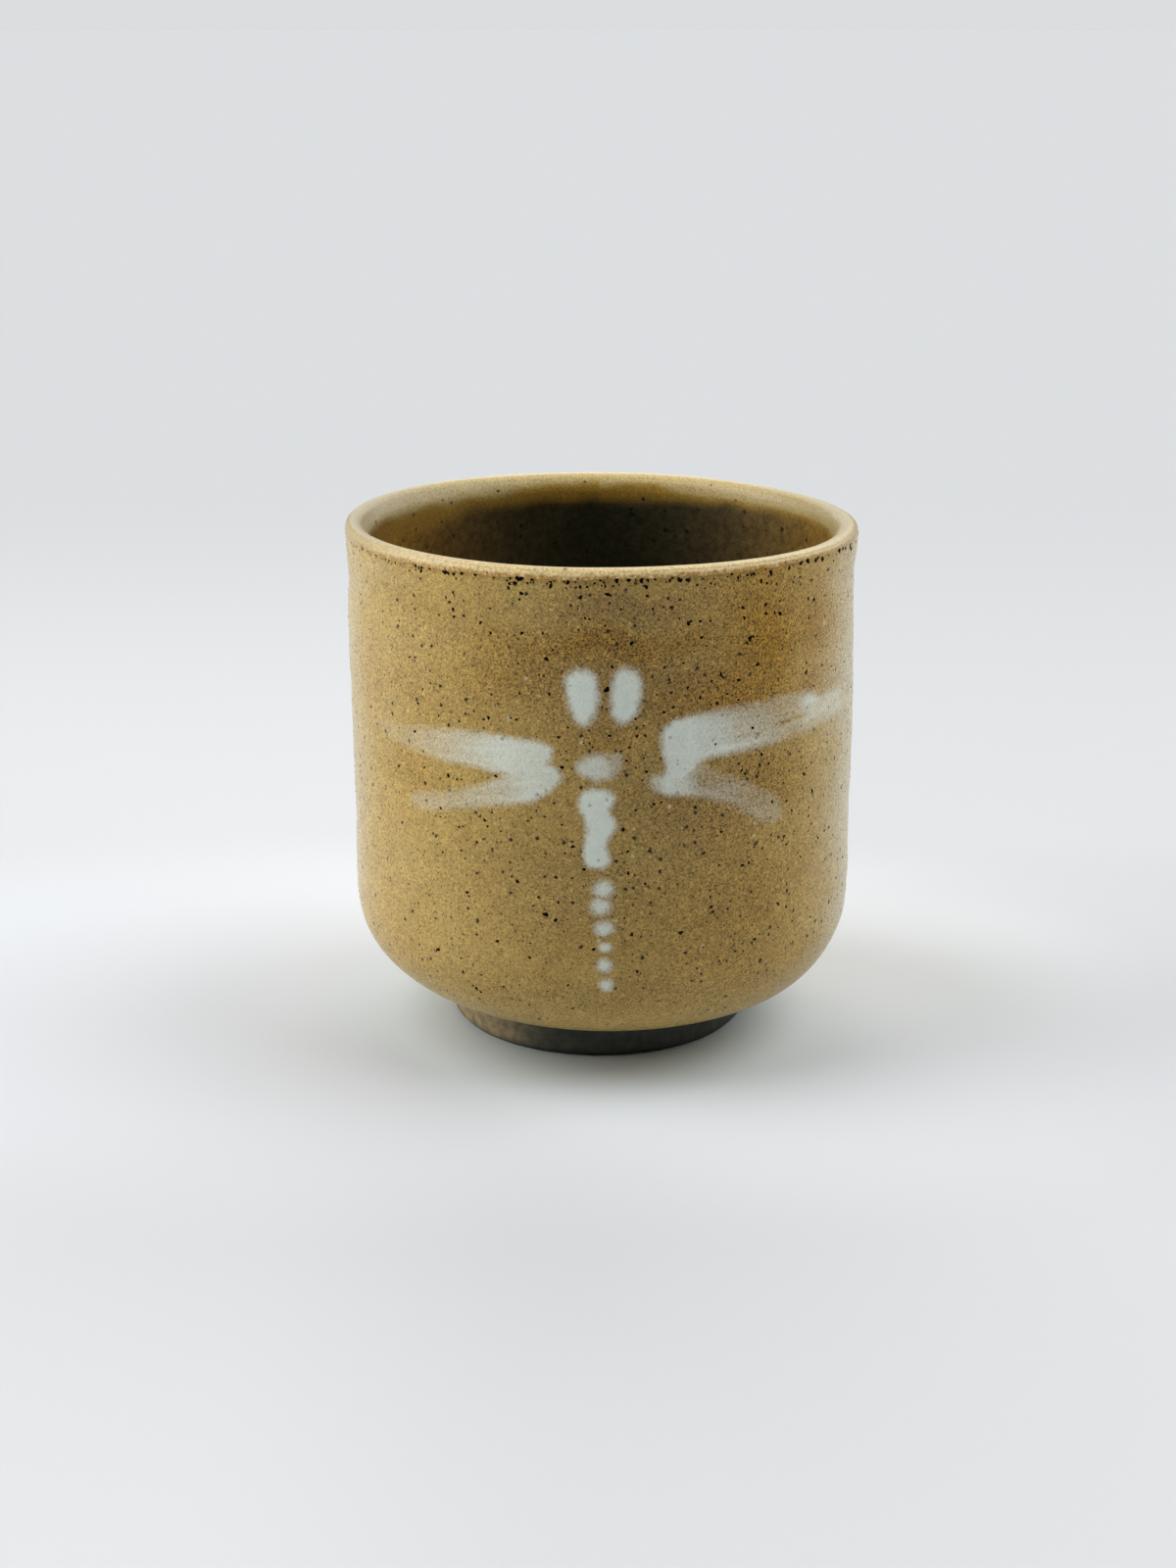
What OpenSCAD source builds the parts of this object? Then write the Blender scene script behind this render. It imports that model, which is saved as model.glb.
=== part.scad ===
// Yunomi: a tall tea cup without a handle, thrown in speckled stoneware. It stands on a turned
// foot ring, has an ochre glaze outside and inside, and carries a dragonfly that is brushed on
// the front in white slip. Millimetres, +Z up. The origin is the middle of the edge that the
// foot rests on, and the dragonfly faces -Y.

/* [Cup] */
// Diameter over the rim
mouth_d = 80; // [74:0.5:86]
// Height from the resting edge to the top of the rim
cup_h = 82; // [78:0.5:92]
// Thickness of the wall and the rim, with the glaze on both sides
wall_t = 3.6; // [3:0.1:4.6]
// How far the wall draws in from the rim down to the turn of the heel, on each side
wall_draft = 0.2; // [0:0.1:3]
// Radius of the turn from the wall in to the underside
heel_r = 15; // [10:0.5:15]
// How far the wall swells out between the heel and the rim
belly = 0.4; // [0.1:0.1:1.5]
// How far the wall draws in below the rim
neck_in = 0.4; // [0.1:0.1:1.2]
// Height of the flare from the neck up to the rim
neck_h = 5; // [3:0.5:8]
// Thickness of the floor in the middle, with its glaze
floor_t = 6; // [4.5:0.1:8]
// Radius of the turn from the floor up to the wall, inside
well_r = 12; // [8:0.5:14]

/* [Foot ring] */
// Diameter of the foot ring near its resting edge
foot_d = 48; // [44:0.5:48]
// Height of the foot ring outside, up to the underside
foot_h = 6; // [5:0.1:8]
// Width of the foot ring
foot_t = 4.5; // [3.5:0.1:6]
// How far the foot ring spreads up to the underside
foot_flare = 0.4; // [0:0.1:0.8]
// Chamfer on both sides of the resting edge
foot_chamfer = 0.6; // [0.3:0.1:1]

/* [Glaze] */
// Thickness of the glaze outside and on the rim
glaze_t = 0.4; // [0.3:0.05:0.6]

/* [Dragonfly] */
// Height of the dragonfly, from its eyes to the last dot of its tail
figure_h = 50; // [42:1:54]
// Distance from the top of the rim down to the thorax
figure_drop = 29.3; // [27:0.1:34]
// How far the white slip stands out from the glaze
slip_t = 0.3; // [0.2:0.05:0.5]

/* [Hidden] */
$fn = 180;

clay_color = "#8a7355";
glaze_color = "#a08a50";
lip_color = "#bfad85";
liner_color = "#6a5530";
slip_color = "#d8d8cc";

// How far a cutting solid runs past what it cuts
overrun = 1;
// Least width of the flat underside between the foot ring and the heel
ledge_w = 0.4;
// Numbers of straight steps in each stretch of the cup's outline
heel_steps = 10;
wall_steps = 12;
flare_steps = 5;
crown_steps = 12;
// Number of steps along each side of a brush stroke, and round an eye
stroke_steps = 16;
eye_steps = 24;

heel_d = mouth_d - 2 * wall_draft;
lip_r = wall_t / 2;
lip_z = cup_h - lip_r;
neck_r = mouth_d / 2 - neck_in;
neck_z = lip_z - neck_h;
foot_top_r = foot_d / 2 + foot_flare;
foot_inner_r = foot_d / 2 - foot_t;
// The turn is limited by the room between the wall and the foot ring
heel_turn_r = min(heel_r, heel_d / 2 - foot_top_r - ledge_w);
heel_top_z = foot_h + heel_turn_r;
clay_under_z = foot_h + glaze_t;
floor_z = foot_h + floor_t;
well_top_z = floor_z + well_r;
widest_r = mouth_d / 2 + belly;
figure_r = mouth_d / 2;
figure_z = cup_h - figure_drop;

// Places of the brush strokes, as shares of the dragonfly's height: across the wall to the
// right of the thorax, and up from it. A stroke has its two ends, and its upper and lower edge
// at even stations from the first end to the second.
eye_left_shares = [-0.058, 0.216];
eye_right_shares = [0.072, 0.22];
eye_size_shares = [0.05, 0.087];
// Lean of the eyes away from each other, in degrees
eye_lean = 7;
thorax_ends_shares = [-0.086, 0.06];
thorax_upper_shares = [0.014, 0.032, 0.046, 0.05, 0.044, 0.056, 0.038];
thorax_lower_shares = [-0.018, -0.028, -0.038, -0.042, -0.038, -0.028, -0.002];
wing_ul_ends_shares = [-0.136, -0.8];
wing_ul_upper_shares = [0.066, 0.086, 0.086, 0.078, 0.064, 0.054, 0.044];
wing_ul_lower_shares = [0.012, -0.016, -0.032, -0.026, -0.016, -0.004, 0.01];
wing_ll_ends_shares = [-0.106, -0.66];
wing_ll_upper_shares = [-0.002, 0.014, -0.018, -0.07, -0.11, -0.132, -0.164];
wing_ll_lower_shares = [-0.05, -0.11, -0.13, -0.15, -0.168, -0.194, -0.186];
wing_ur_ends_shares = [0.164, 0.97];
wing_ur_upper_shares = [0.126, 0.158, 0.164, 0.166, 0.156, 0.134, 0.118];
wing_ur_lower_shares = [-0.006, 0.012, 0.016, 0.026, 0.036, 0.042, 0.044];
wing_lr_ends_shares = [0.124, 0.596];
wing_lr_upper_shares = [-0.016, 0.012, 0.018, -0.026, -0.058, -0.098, -0.176];
wing_lr_lower_shares = [-0.048, -0.092, -0.1, -0.132, -0.174, -0.216, -0.21];
// The abdomen hangs down, so its ends are heights and its edges are left and right
abdomen_ends_shares = [-0.06, -0.308];
abdomen_left_shares = [-0.06, -0.074, -0.062, -0.054, -0.054, -0.06, -0.046];
abdomen_right_shares = [0.028, 0.038, 0.018, 0.042, 0.02, 0.022, 0.018];
// The dots of the tail: across, up and radius
dot_shares = [
    [0.002, -0.372, 0.025],
    [-0.006, -0.426, 0.025],
    [0.004, -0.496, 0.025],
    [0.008, -0.554, 0.018],
    [0.006, -0.614, 0.022],
    [0.012, -0.68, 0.02]
];
// How blunt the ends of a stroke are: a smaller power gives a squarer end
end_power = 0.3;

// Radius of the outside of the wall at height z: a straight taper with one slow swell
function wall_radius(z) =
    let (u = (z - heel_top_z) / (neck_z - heel_top_z))
    heel_d / 2 + (neck_r - heel_d / 2) * u + belly * sin(180 * u);

// Radius of the flare at share u of its height: an S from the neck out to the rim
function flare_radius(u) = neck_r + neck_in * (1 - cos(180 * u)) / 2;

function between(a, b, u) = a + (b - a) * u;

// The glazed surface outside, from the foot ring out, round the heel and up to the rim
outer_path = concat(
    [[foot_top_r, foot_h]],
    [for (i = [0 : heel_steps])
        let (a = between(-90, 0, i / heel_steps))
        [heel_d / 2 + heel_turn_r * (cos(a) - 1), heel_top_z + heel_turn_r * sin(a)]],
    [for (i = [1 : wall_steps])
        let (z = between(heel_top_z, neck_z, i / wall_steps))
        [wall_radius(z), z]],
    [for (i = [1 : flare_steps - 1])
        let (u = i / flare_steps)
        [flare_radius(u), neck_z + neck_h * u]]
);

// The round top of the rim, from its outside over to its inside
crown_path = [for (i = [0 : crown_steps])
    let (a = between(0, 180, i / crown_steps))
    [mouth_d / 2 - lip_r + lip_r * cos(a), lip_z + lip_r * sin(a)]];

// The glazed surface inside, from the rim down the wall and in to the middle of the floor
inner_path = concat(
    [for (i = [flare_steps - 1 : -1 : 1])
        let (u = i / flare_steps)
        [flare_radius(u) - wall_t, neck_z + neck_h * u]],
    [for (i = [wall_steps : -1 : 1])
        let (z = between(well_top_z, neck_z, i / wall_steps))
        [wall_radius(z) - wall_t, z]],
    [for (i = [0 : heel_steps])
        let (a = between(0, -90, i / heel_steps))
        [wall_radius(well_top_z) - wall_t + well_r * (cos(a) - 1),
            well_top_z + well_r * sin(a)]],
    [[0, floor_z]]
);

skin = concat(outer_path, crown_path, inner_path);
rim_start = len(outer_path);
rim_end = rim_start + len(crown_path) - 1;

// Unit normal on the left of the line from a to b
function left_of(a, b) = let (d = b - a) [-d.y, d.x] / norm(d);

// A path moved t to its left, with mitred corners
function moved_left(path, t) =
    let (last = len(path) - 1)
    [for (i = [0 : last])
        let (
            before = left_of(path[max(i - 1, 0)], path[max(i, 1)]),
            after = left_of(path[min(i, last - 1)], path[min(i + 1, last)]),
            middle = before + after
        )
        path[i] + middle * t * 2 / (middle * middle)];

function stretch(path, first, last) = [for (i = [first : last]) path[i]];
function backwards(path) = [for (i = [len(path) - 1 : -1 : 0]) path[i]];

// The clay surface lies under the glaze all the way round, and the slip stands out from it
clay_skin = moved_left(skin, glaze_t);
slip_skin = moved_left(outer_path, -slip_t);

// One coat of glaze, between the skin and the clay, from one point of the outline to another
module coat(first, last) {
    rotate_extrude()
        polygon(concat(stretch(skin, first, last), backwards(stretch(clay_skin, first, last))));
}

// A smooth curve through even stations, read at u from 0 to 1
function along(stations, u) =
    let (
        spans = len(stations) - 1,
        i = min(floor(u * spans), spans - 1),
        v = u * spans - i,
        p0 = stations[max(i - 1, 0)],
        p1 = stations[i],
        p2 = stations[i + 1],
        p3 = stations[min(i + 2, spans)]
    )
    p1 + v * ((p2 - p0) + v * ((2 * p0 - 5 * p1 + 4 * p2 - p3)
        + v * (3 * (p1 - p2) + p3 - p0))) / 2;

// Outline of a stroke in shares: out along one edge and back along the other, closed by
// blunt ends. Steps are closer together near the ends.
function stroke_outline(ends, upper, lower) =
    let (
        edge = function (u, side)
            let (
                middle = (along(upper, u) + along(lower, u)) / 2,
                half = (along(upper, u) - along(lower, u)) / 2 * pow(4 * u * (1 - u), end_power)
            )
            [between(ends[0], ends[1], u), middle + side * half],
        eased = function (i) (1 - cos(180 * i / stroke_steps)) / 2
    )
    concat(
        [for (i = [0 : stroke_steps]) edge(eased(i), 1)],
        [for (i = [stroke_steps - 1 : -1 : 1]) edge(eased(i), -1)]
    );

function swapped(outline) = [for (p = outline) [p.y, p.x]];

// Outline of an eye in shares: an ellipse that leans by an angle
function eye_outline(centre, lean) =
    [for (i = [0 : eye_steps - 1])
        let (
            a = 360 * i / eye_steps,
            p = [eye_size_shares.x * cos(a), eye_size_shares.y * sin(a)]
        )
        centre + [p.x * cos(lean) - p.y * sin(lean), p.x * sin(lean) + p.y * cos(lean)]];

// Outline of a dot in shares
function dot_outline(dot) =
    [for (i = [0 : eye_steps - 1])
        let (a = 360 * i / eye_steps)
        [dot[0] + dot[2] * cos(a), dot[1] + dot[2] * sin(a)]];

// Angle round the cup of a place that lies a share of the dragonfly's height to the right
function turn(share) = share * figure_h / figure_r * 180 / PI;

// Everything that lies outward of an outline on the wall, from the cup's axis
module behind(outline) {
    across = [for (p = outline) p.x];
    middle = turn((min(across) + max(across)) / 2);
    flat = [for (p = outline) [figure_r * sin(turn(p.x) - middle), figure_z + p.y * figure_h]];
    rotate([90, 0, middle])
        linear_extrude(height = widest_r + slip_t + overrun)
            polygon(flat);
}

// A layer of slip on the outside of the cup, kept inside one outline and clear of another
module slip(outline, clear_of = []) {
    color(slip_color)
        intersection() {
            rotate_extrude()
                polygon(concat(backwards(outer_path), slip_skin));
            if (len(clear_of) > 0)
                difference() {
                    behind(outline);
                    behind(clear_of);
                }
            else
                behind(outline);
        }
}

upper_left_wing =
    stroke_outline(wing_ul_ends_shares, wing_ul_upper_shares, wing_ul_lower_shares);
lower_left_wing =
    stroke_outline(wing_ll_ends_shares, wing_ll_upper_shares, wing_ll_lower_shares);
upper_right_wing =
    stroke_outline(wing_ur_ends_shares, wing_ur_upper_shares, wing_ur_lower_shares);
lower_right_wing =
    stroke_outline(wing_lr_ends_shares, wing_lr_upper_shares, wing_lr_lower_shares);

module cup_body() {
    color(clay_color)
        rotate_extrude()
            polygon(concat(clay_skin, [[0, clay_under_z]]));
}

module foot_ring() {
    color(clay_color)
        rotate_extrude()
            polygon([
                [foot_inner_r + foot_chamfer, 0],
                [foot_d / 2 - foot_chamfer, 0],
                [foot_d / 2, foot_chamfer],
                [foot_top_r, foot_h],
                [foot_top_r, clay_under_z],
                [foot_inner_r, clay_under_z],
                [foot_inner_r, foot_chamfer]
            ]);
}

module outer_glaze() {
    color(glaze_color)
        coat(0, rim_start);
}

module lip_glaze() {
    color(lip_color)
        coat(rim_start, rim_end);
}

module liner_glaze() {
    color(liner_color)
        coat(rim_end, len(skin) - 1);
}

module slip_eye_left() {
    slip(eye_outline(eye_left_shares, eye_lean));
}

module slip_eye_right() {
    slip(eye_outline(eye_right_shares, -eye_lean));
}

module slip_thorax() {
    slip(stroke_outline(thorax_ends_shares, thorax_upper_shares, thorax_lower_shares));
}

module slip_abdomen() {
    slip(swapped(stroke_outline(abdomen_ends_shares, abdomen_right_shares, abdomen_left_shares)));
}

module slip_tail_dots() {
    for (dot = dot_shares)
        slip(dot_outline(dot));
}

module slip_wing_upper_left() {
    slip(upper_left_wing);
}

// The lower wings run up to the upper ones, which were brushed first
module slip_wing_lower_left() {
    slip(lower_left_wing, clear_of = upper_left_wing);
}

module slip_wing_upper_right() {
    slip(upper_right_wing);
}

module slip_wing_lower_right() {
    slip(lower_right_wing, clear_of = upper_right_wing);
}

cup_body();
foot_ring();
outer_glaze();
lip_glaze();
liner_glaze();
slip_eye_left();
slip_eye_right();
slip_thorax();
slip_abdomen();
slip_tail_dots();
slip_wing_upper_left();
slip_wing_lower_left();
slip_wing_upper_right();
slip_wing_lower_right();
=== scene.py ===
"""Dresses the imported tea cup: a yunomi thrown in speckled stoneware, glazed ochre, with a dragonfly
brushed on the front in white slip.

Shapes are worked out in millimetres and turned to metres where a mesh is made. A place on the cup
is given by its radius, its angle round the cup from the front (-Y) towards +X, and its height. A
place on the front of the wall is also given by s, the arc from the middle line, and the height z.
"""

import math

import bpy
import numpy as np
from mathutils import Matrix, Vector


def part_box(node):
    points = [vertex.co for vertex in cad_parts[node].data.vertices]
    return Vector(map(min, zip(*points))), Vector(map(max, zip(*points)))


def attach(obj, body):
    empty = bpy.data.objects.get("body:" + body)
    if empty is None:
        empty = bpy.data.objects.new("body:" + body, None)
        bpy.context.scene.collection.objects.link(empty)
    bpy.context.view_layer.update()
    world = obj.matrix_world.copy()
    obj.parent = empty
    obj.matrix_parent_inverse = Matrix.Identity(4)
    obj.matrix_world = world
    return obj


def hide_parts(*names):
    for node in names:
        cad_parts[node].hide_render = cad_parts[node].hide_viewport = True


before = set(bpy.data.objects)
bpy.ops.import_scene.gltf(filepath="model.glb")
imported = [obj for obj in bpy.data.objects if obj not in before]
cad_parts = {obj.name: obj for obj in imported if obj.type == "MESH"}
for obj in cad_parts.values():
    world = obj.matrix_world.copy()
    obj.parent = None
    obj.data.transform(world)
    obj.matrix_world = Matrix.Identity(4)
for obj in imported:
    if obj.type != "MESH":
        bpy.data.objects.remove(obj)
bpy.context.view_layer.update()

# One millimetre in metres
MM = 0.001


def corners(node):
    """Lowest and highest corner of a CAD node, in millimetres."""
    low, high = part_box(node)
    return np.array(low) / MM, np.array(high) / MM


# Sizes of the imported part
rim_z = corners("lip_glaze")[1][2]
mouth_r = corners("lip_glaze")[1][0]
lip_z = corners("lip_glaze")[0][2]
under_z = corners("outer_glaze")[0][2]
clay_under_z = corners("cup_body")[0][2]
glaze_t = clay_under_z - under_z
floor_z = corners("liner_glaze")[0][2] + glaze_t
foot_top_r = corners("foot_ring")[1][0]

# Sizes of the thrown wall. Its bells are a neck under the rim, a faint waist and a faint belly,
# each by how far out it goes, the height of its middle and its half width. The heel turns in along
# a quarter superellipse of radius TURN_R, and the well along a quarter circle
WALL_T = 3.6
SWELL = 0.2
WALL_BELLS = ((-0.16, 73.0, 4.5), (-0.12, 36.5, 4.0), (0.14, 25.0, 4.0))
TURN_R = 15.0
TURN_POWER = 1.86
WELL_R = 12.0
turn_z = under_z + TURN_R
turn_middle_r = mouth_r - TURN_R

# Sizes of the rim: a crease where the glaze breaks, a full outer edge, a crest close to it and a
# long slope down inside. The points below and above the crease lie in by a part of its depth
CREASE_Z = 80.45
CREASE_DEEP = 0.06
CREASE_PARTS_BELOW = 3
CREASE_PARTS_ABOVE = 4
RIM_CREST_IN = 1.35
RIM_SLOPE_END_Z = 79.0
RIM_EDGE_POWER = 2.5
RIM_SLOPE_POWER = 1.8
rim_crest_r = mouth_r - RIM_CREST_IN

# Sizes of the foot ring
FOOT_FLARE = 0.4
FOOT_T = 4.5
FOOT_CHAMFER = 0.8
FOOT_WAIST = 0.25
foot_r = foot_top_r - FOOT_FLARE
foot_inner_r = foot_r - FOOT_T

# How far the slip stands out from the glaze at least, how deep its edge is sunk, how much further
# out it stands where it is thickest, and how deep its back lies
SLIP_LIFT = 0.025
SLIP_SINK = 0.02
SLIP_BODY = 0.05
SLIP_BACK = 0.3

# Marks of the throwing hand: the pitch of the spiral ridge and its height, a finer ridge with its
# share of the pitch, the wall's roundness as waves, the height where they begin, and the stretches
# over which they grow above the heel and fade below the crease
THROWING_PITCH = 7.5
RIDGE = 0.03
FINE_RIDGE = 0.012
FINE_PITCH = 0.43
ROUNDNESS = ((0.05, 3, 0.8),)
THROWN_FROM_Z = 13
THROWN_FADE_LOW = 8
THROWN_FADE_HIGH = 4

# How the cup leans to +X: evenly, but less and less over the stretch below its top, and in bells as
# the wall's. The even lean and the heel's spare the clay inside KEPT_R.
EVEN_LEAN = 0.5
LEAN_TOP_Z = 82
LEAN_TALL = 26
HEEL_LEAN = ((1.0, 6.0, 5.5),)
WALL_LEANS = ((0.27, 79.0, 4.0), (0.13, 73.3, 1.6), (-0.16, 61.0, 7.0))
KEPT_R = 25
KEPT_FADE = 6

# The uneven rim: how oval it is and from what height, how far it dips for each millimetre to +X,
# and how it and the crease rise, in front and as waves by height, count in a turn and start angle
OVAL = 0.0075
OVAL_FROM_Z = 74
OVAL_FADE = 6
DIP = 0.00865
FRONT_RISE = 0.12
RIM_WAVES = ((0.1, 2, 0.9), (0.05, 5, 0.0))
WAVES_FROM_Z = 60
WAVES_FADE = 22
CREASE_RISE = 0.1
CREASE_WAVES = ((0.35, 1, 0.0), (0.06, 9, 0.0), (0.05, 23, 1.0), (0.04, 41, 2.0))

# The groove in the rim's outer edge: depth, height, half height, its share all round, and the angle
# and half width of the two places beside the front where it is full
GROOVE_DEEP = 0.12
GROOVE_Z = 81.45
GROOVE_TALL = 0.16
GROOVE_ALL_ROUND = 0.25
GROOVE_ANGLE = 0.75
GROOVE_WIDE = 0.45

# The spiral on the floor of the well: height, pitch, outer radius, and how it fades at its start,
# at its end and up the wall
SPIRAL = 0.12
SPIRAL_PITCH = 5.5
SPIRAL_R = 26
SPIRAL_FADE_IN = 3
SPIRAL_FADE_OUT = 5
SPIRAL_TALL = 1.5

# Segments round the cup, and points along each stretch of an outline
AROUND = 400
HEEL_POINTS = 64
WALL_POINTS = 120
EDGE_POINTS = 22
SLOPE_POINTS = 40
WELL_WALL_POINTS = 80
WELL_POINTS = 36
FOOT_POINTS = 28
# Hidden clay keeps one point in so many of the glaze's outline: behind a coat, and in the body
COAT_BACK_STEP = 3
BODY_STEP = 2


def eased(x):
    """A step from 0 to 1 without corners: x cut to 0..1, then 3 x squared less 2 x cubed."""
    x = np.clip(x, 0, 1)
    return x * x * (3 - 2 * x)


def bells(x, table, power=2):
    """The sum of bells over x, each by its height, middle and half width: its height times e to
    minus a power of the distance from the middle, counted in half widths. A power of 4 makes the
    top flat."""
    return sum(height * np.exp(-(np.abs(x - middle) / half_width) ** power)
               for height, middle, half_width in table)


def waves(phi, table):
    """The sum of sines round the cup, each by its height, its count in one turn and its start."""
    return sum(height * np.sin(count * phi + start) for height, count, start in table)


def value_noise(u, v, seed):
    """Smooth noise from 0 to 1: random values at the whole-number places of u and v, with eased
    straight blends between the four nearest."""
    size = 256
    table = np.random.default_rng(seed).random((size, size))
    column = np.floor(u).astype(int)
    row = np.floor(v).astype(int)
    x = eased(u - column)
    y = eased(v - row)
    low = table[column % size, row % size] * (1 - x) + table[(column + 1) % size, row % size] * x
    high = (table[column % size, (row + 1) % size] * (1 - x)
            + table[(column + 1) % size, (row + 1) % size] * x)
    return low * (1 - y) + high * y


def unevenness(s, z, table):
    """The sum of smooth noises around 0 over places on the wall. Each has its height, its size
    along s and along z, where in the random values it starts along both, and its seed."""
    return sum(height * (value_noise(s / size_s + start_s, z / size_z + start_z, seed) - 0.5)
               for height, size_s, size_z, start_s, start_z, seed in table)


def outer_radius(z):
    """Radius of the glazed wall at height z. The wall is straight, plus a sine swell and the bells
    of its neck, waist and belly. Below turn_z it follows a quarter superellipse in to the
    underside."""
    share = np.clip((z - turn_z) / (rim_z - turn_z), 0, 1)
    wall = mouth_r + SWELL * np.sin(np.pi * share) + bells(z, WALL_BELLS)
    drop = np.clip((turn_z - z) / TURN_R, 0, 1)
    return wall - TURN_R * (1 - (1 - drop ** TURN_POWER) ** (1 / TURN_POWER))


def thrown(phi, z):
    """What the hand leaves on the wall: a faint spiral ridge that climbs one pitch each turn, a
    finer double one, and a slight three-sided roundness. All fade out at the heel and the rim."""
    climb = 2 * np.pi * z / THROWING_PITCH
    marks = RIDGE * np.sin(climb - phi) + FINE_RIDGE * np.sin(climb / FINE_PITCH - 2 * phi)
    marks = marks + waves(phi, ROUNDNESS)
    marks = marks * eased((z - THROWN_FROM_Z) / THROWN_FADE_LOW)
    return marks * eased((CREASE_Z - z) / THROWN_FADE_HIGH)


def place(r, phi, z):
    """Points in millimetres of radius r, angle phi and height z, on the cup as it was made: the
    heel leans to +X, and the rim is slightly oval, drawn to +X and a little lower on that side.
    The crease winds up and down round the rim."""
    lean = EVEN_LEAN * eased((LEAN_TOP_Z - z) / LEAN_TALL) + bells(z, HEEL_LEAN)
    lean = lean * eased((r - KEPT_R) / KEPT_FADE) + bells(z, WALL_LEANS)
    oval = 1 + OVAL * eased((z - OVAL_FROM_Z) / OVAL_FADE)
    x = r * oval * np.sin(phi) + lean
    y = -r * np.cos(phi)
    dip = DIP * x * (z / rim_z) ** 2
    rise = waves(phi, RIM_WAVES) + FRONT_RISE * (1 + np.cos(phi))
    rise = rise * eased((z - WAVES_FROM_Z) / WAVES_FADE)
    rise = rise + (CREASE_RISE + waves(phi, CREASE_WAVES)) * np.exp(-(z - CREASE_Z) ** 2)
    return np.stack(np.broadcast_arrays(x, y, z - dip + rise), axis=-1)


def on_wall(s, z, lift):
    """Points that lie a lift outside the glazed wall, at arc s from the middle line, height z."""
    phi = s / mouth_r
    return place(outer_radius(z) + thrown(phi, z) + lift, phi, z)


def glaze_path():
    """Radius and height down the whole glazed outside, from the foot ring out, round the turn of
    the heel and up to the crease. The turn is read at even angles of its superellipse."""
    angle = np.linspace(np.pi / 2, 0, HEEL_POINTS)
    r_turn = turn_middle_r + TURN_R * np.cos(angle) ** (2 / TURN_POWER)
    z_turn = turn_z - TURN_R * np.sin(angle) ** (2 / TURN_POWER)
    z_wall = np.linspace(turn_z, CREASE_Z, WALL_POINTS + 1)[1:]
    r_wall = outer_radius(z_wall)
    r_wall[-1] -= CREASE_DEEP
    r_wall[-2] -= CREASE_DEEP / CREASE_PARTS_BELOW
    r = np.concatenate([[foot_top_r], r_turn, r_wall])
    z = np.concatenate([[under_z], z_turn, z_wall])
    return r, z


def rim_path():
    """Radius and height over the rim: from the crease up a full quarter superellipse to the crest,
    and down another one, of a lower power, to the inner wall."""
    angle = np.linspace(0, np.pi / 2, EDGE_POINTS)
    r_edge = rim_crest_r + RIM_CREST_IN * np.cos(angle) ** (2 / RIM_EDGE_POWER)
    z_edge = CREASE_Z + (rim_z - CREASE_Z) * np.sin(angle) ** (2 / RIM_EDGE_POWER)
    r_edge[0] -= CREASE_DEEP
    r_edge[1] -= CREASE_DEEP / CREASE_PARTS_ABOVE
    angle = np.linspace(np.pi / 2, 0, SLOPE_POINTS)[1:]
    r_slope = rim_crest_r - (WALL_T - RIM_CREST_IN) * np.cos(angle) ** (2 / RIM_SLOPE_POWER)
    fall = rim_z - RIM_SLOPE_END_Z
    z_slope = RIM_SLOPE_END_Z + fall * np.sin(angle) ** (2 / RIM_SLOPE_POWER)
    return np.concatenate([r_edge, r_slope]), np.concatenate([z_edge, z_slope])


def well_path():
    """Radius and height inside, from the end of the rim's slope down a straight wall, round the
    quarter circle of the well and in to the middle of the floor."""
    well_r = mouth_r - WALL_T
    z_wall = np.linspace(RIM_SLOPE_END_Z, floor_z + WELL_R, WELL_WALL_POINTS)[1:]
    r_wall = np.full(len(z_wall), well_r)
    angle = np.linspace(0, np.pi / 2, WELL_POINTS)[1:]
    r_turn = well_r - WELL_R + WELL_R * np.cos(angle)
    z_turn = floor_z + WELL_R - WELL_R * np.sin(angle)
    r_floor = np.linspace(well_r - WELL_R, 0, WELL_POINTS)[1:]
    z_floor = np.full(len(r_floor), floor_z)
    return np.concatenate([r_wall, r_turn, r_floor]), np.concatenate([z_wall, z_turn, z_floor])


def moved_in(r, z, depth):
    """A path moved sideways into the clay: each point goes back along the left-hand normal of the
    path there, which is the slope between its neighbours turned a quarter."""
    dr = np.gradient(r)
    dz = np.gradient(z)
    length = np.hypot(dr, dz)
    return np.maximum(r - depth * dz / length, 0), z + depth * dr / length


def finish_mesh(name, points, faces, smooth_angle=40):
    """A named object from points in millimetres and faces that point outwards. Edges sharper than
    smooth_angle, in degrees, stay sharp, and the rest is shaded smooth."""
    mesh = bpy.data.meshes.new(name)
    mesh.from_pydata((points * MM).tolist(), [], faces)
    mesh.shade_smooth()
    mesh.set_sharp_from_angle(angle=math.radians(smooth_angle))
    mesh.update()
    piece = bpy.data.objects.new(name, mesh)
    bpy.context.scene.collection.objects.link(piece)
    return piece


def lattice(rows, columns, first=0, wrap=True):
    """Corner numbers of the four-sided faces between rows of points, each row in one turn."""
    last = columns if wrap else columns - 1
    row, column = np.meshgrid(np.arange(rows - 1), np.arange(last), indexing="ij")
    after = (column + 1) % columns
    return np.stack([
        first + row * columns + column,
        first + row * columns + after,
        first + (row + 1) * columns + after,
        first + (row + 1) * columns + column,
    ], axis=-1).reshape(-1, 4)


def turned_ring(name, r, z, shape=None):
    """A closed ring turned on the wheel: a closed outline, in order and counterclockwise in radius
    and height, carried round the axis. shape changes the radius by angle and height."""
    phi = np.arange(AROUND) * 2 * np.pi / AROUND
    r = np.append(r, r[0])
    z = np.append(z, z[0])
    radius = np.repeat(r[:, None], AROUND, axis=1)
    height = np.repeat(z[:, None], AROUND, axis=1)
    if shape is not None:
        radius = radius + shape(phi[None, :], height)
    points = place(radius, phi[None, :], height).reshape(-1, 3)
    rows = len(r) - 1
    faces = lattice(rows + 1, AROUND)
    faces = faces % (rows * AROUND)
    return finish_mesh(name, points[:rows * AROUND], faces.tolist())


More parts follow.
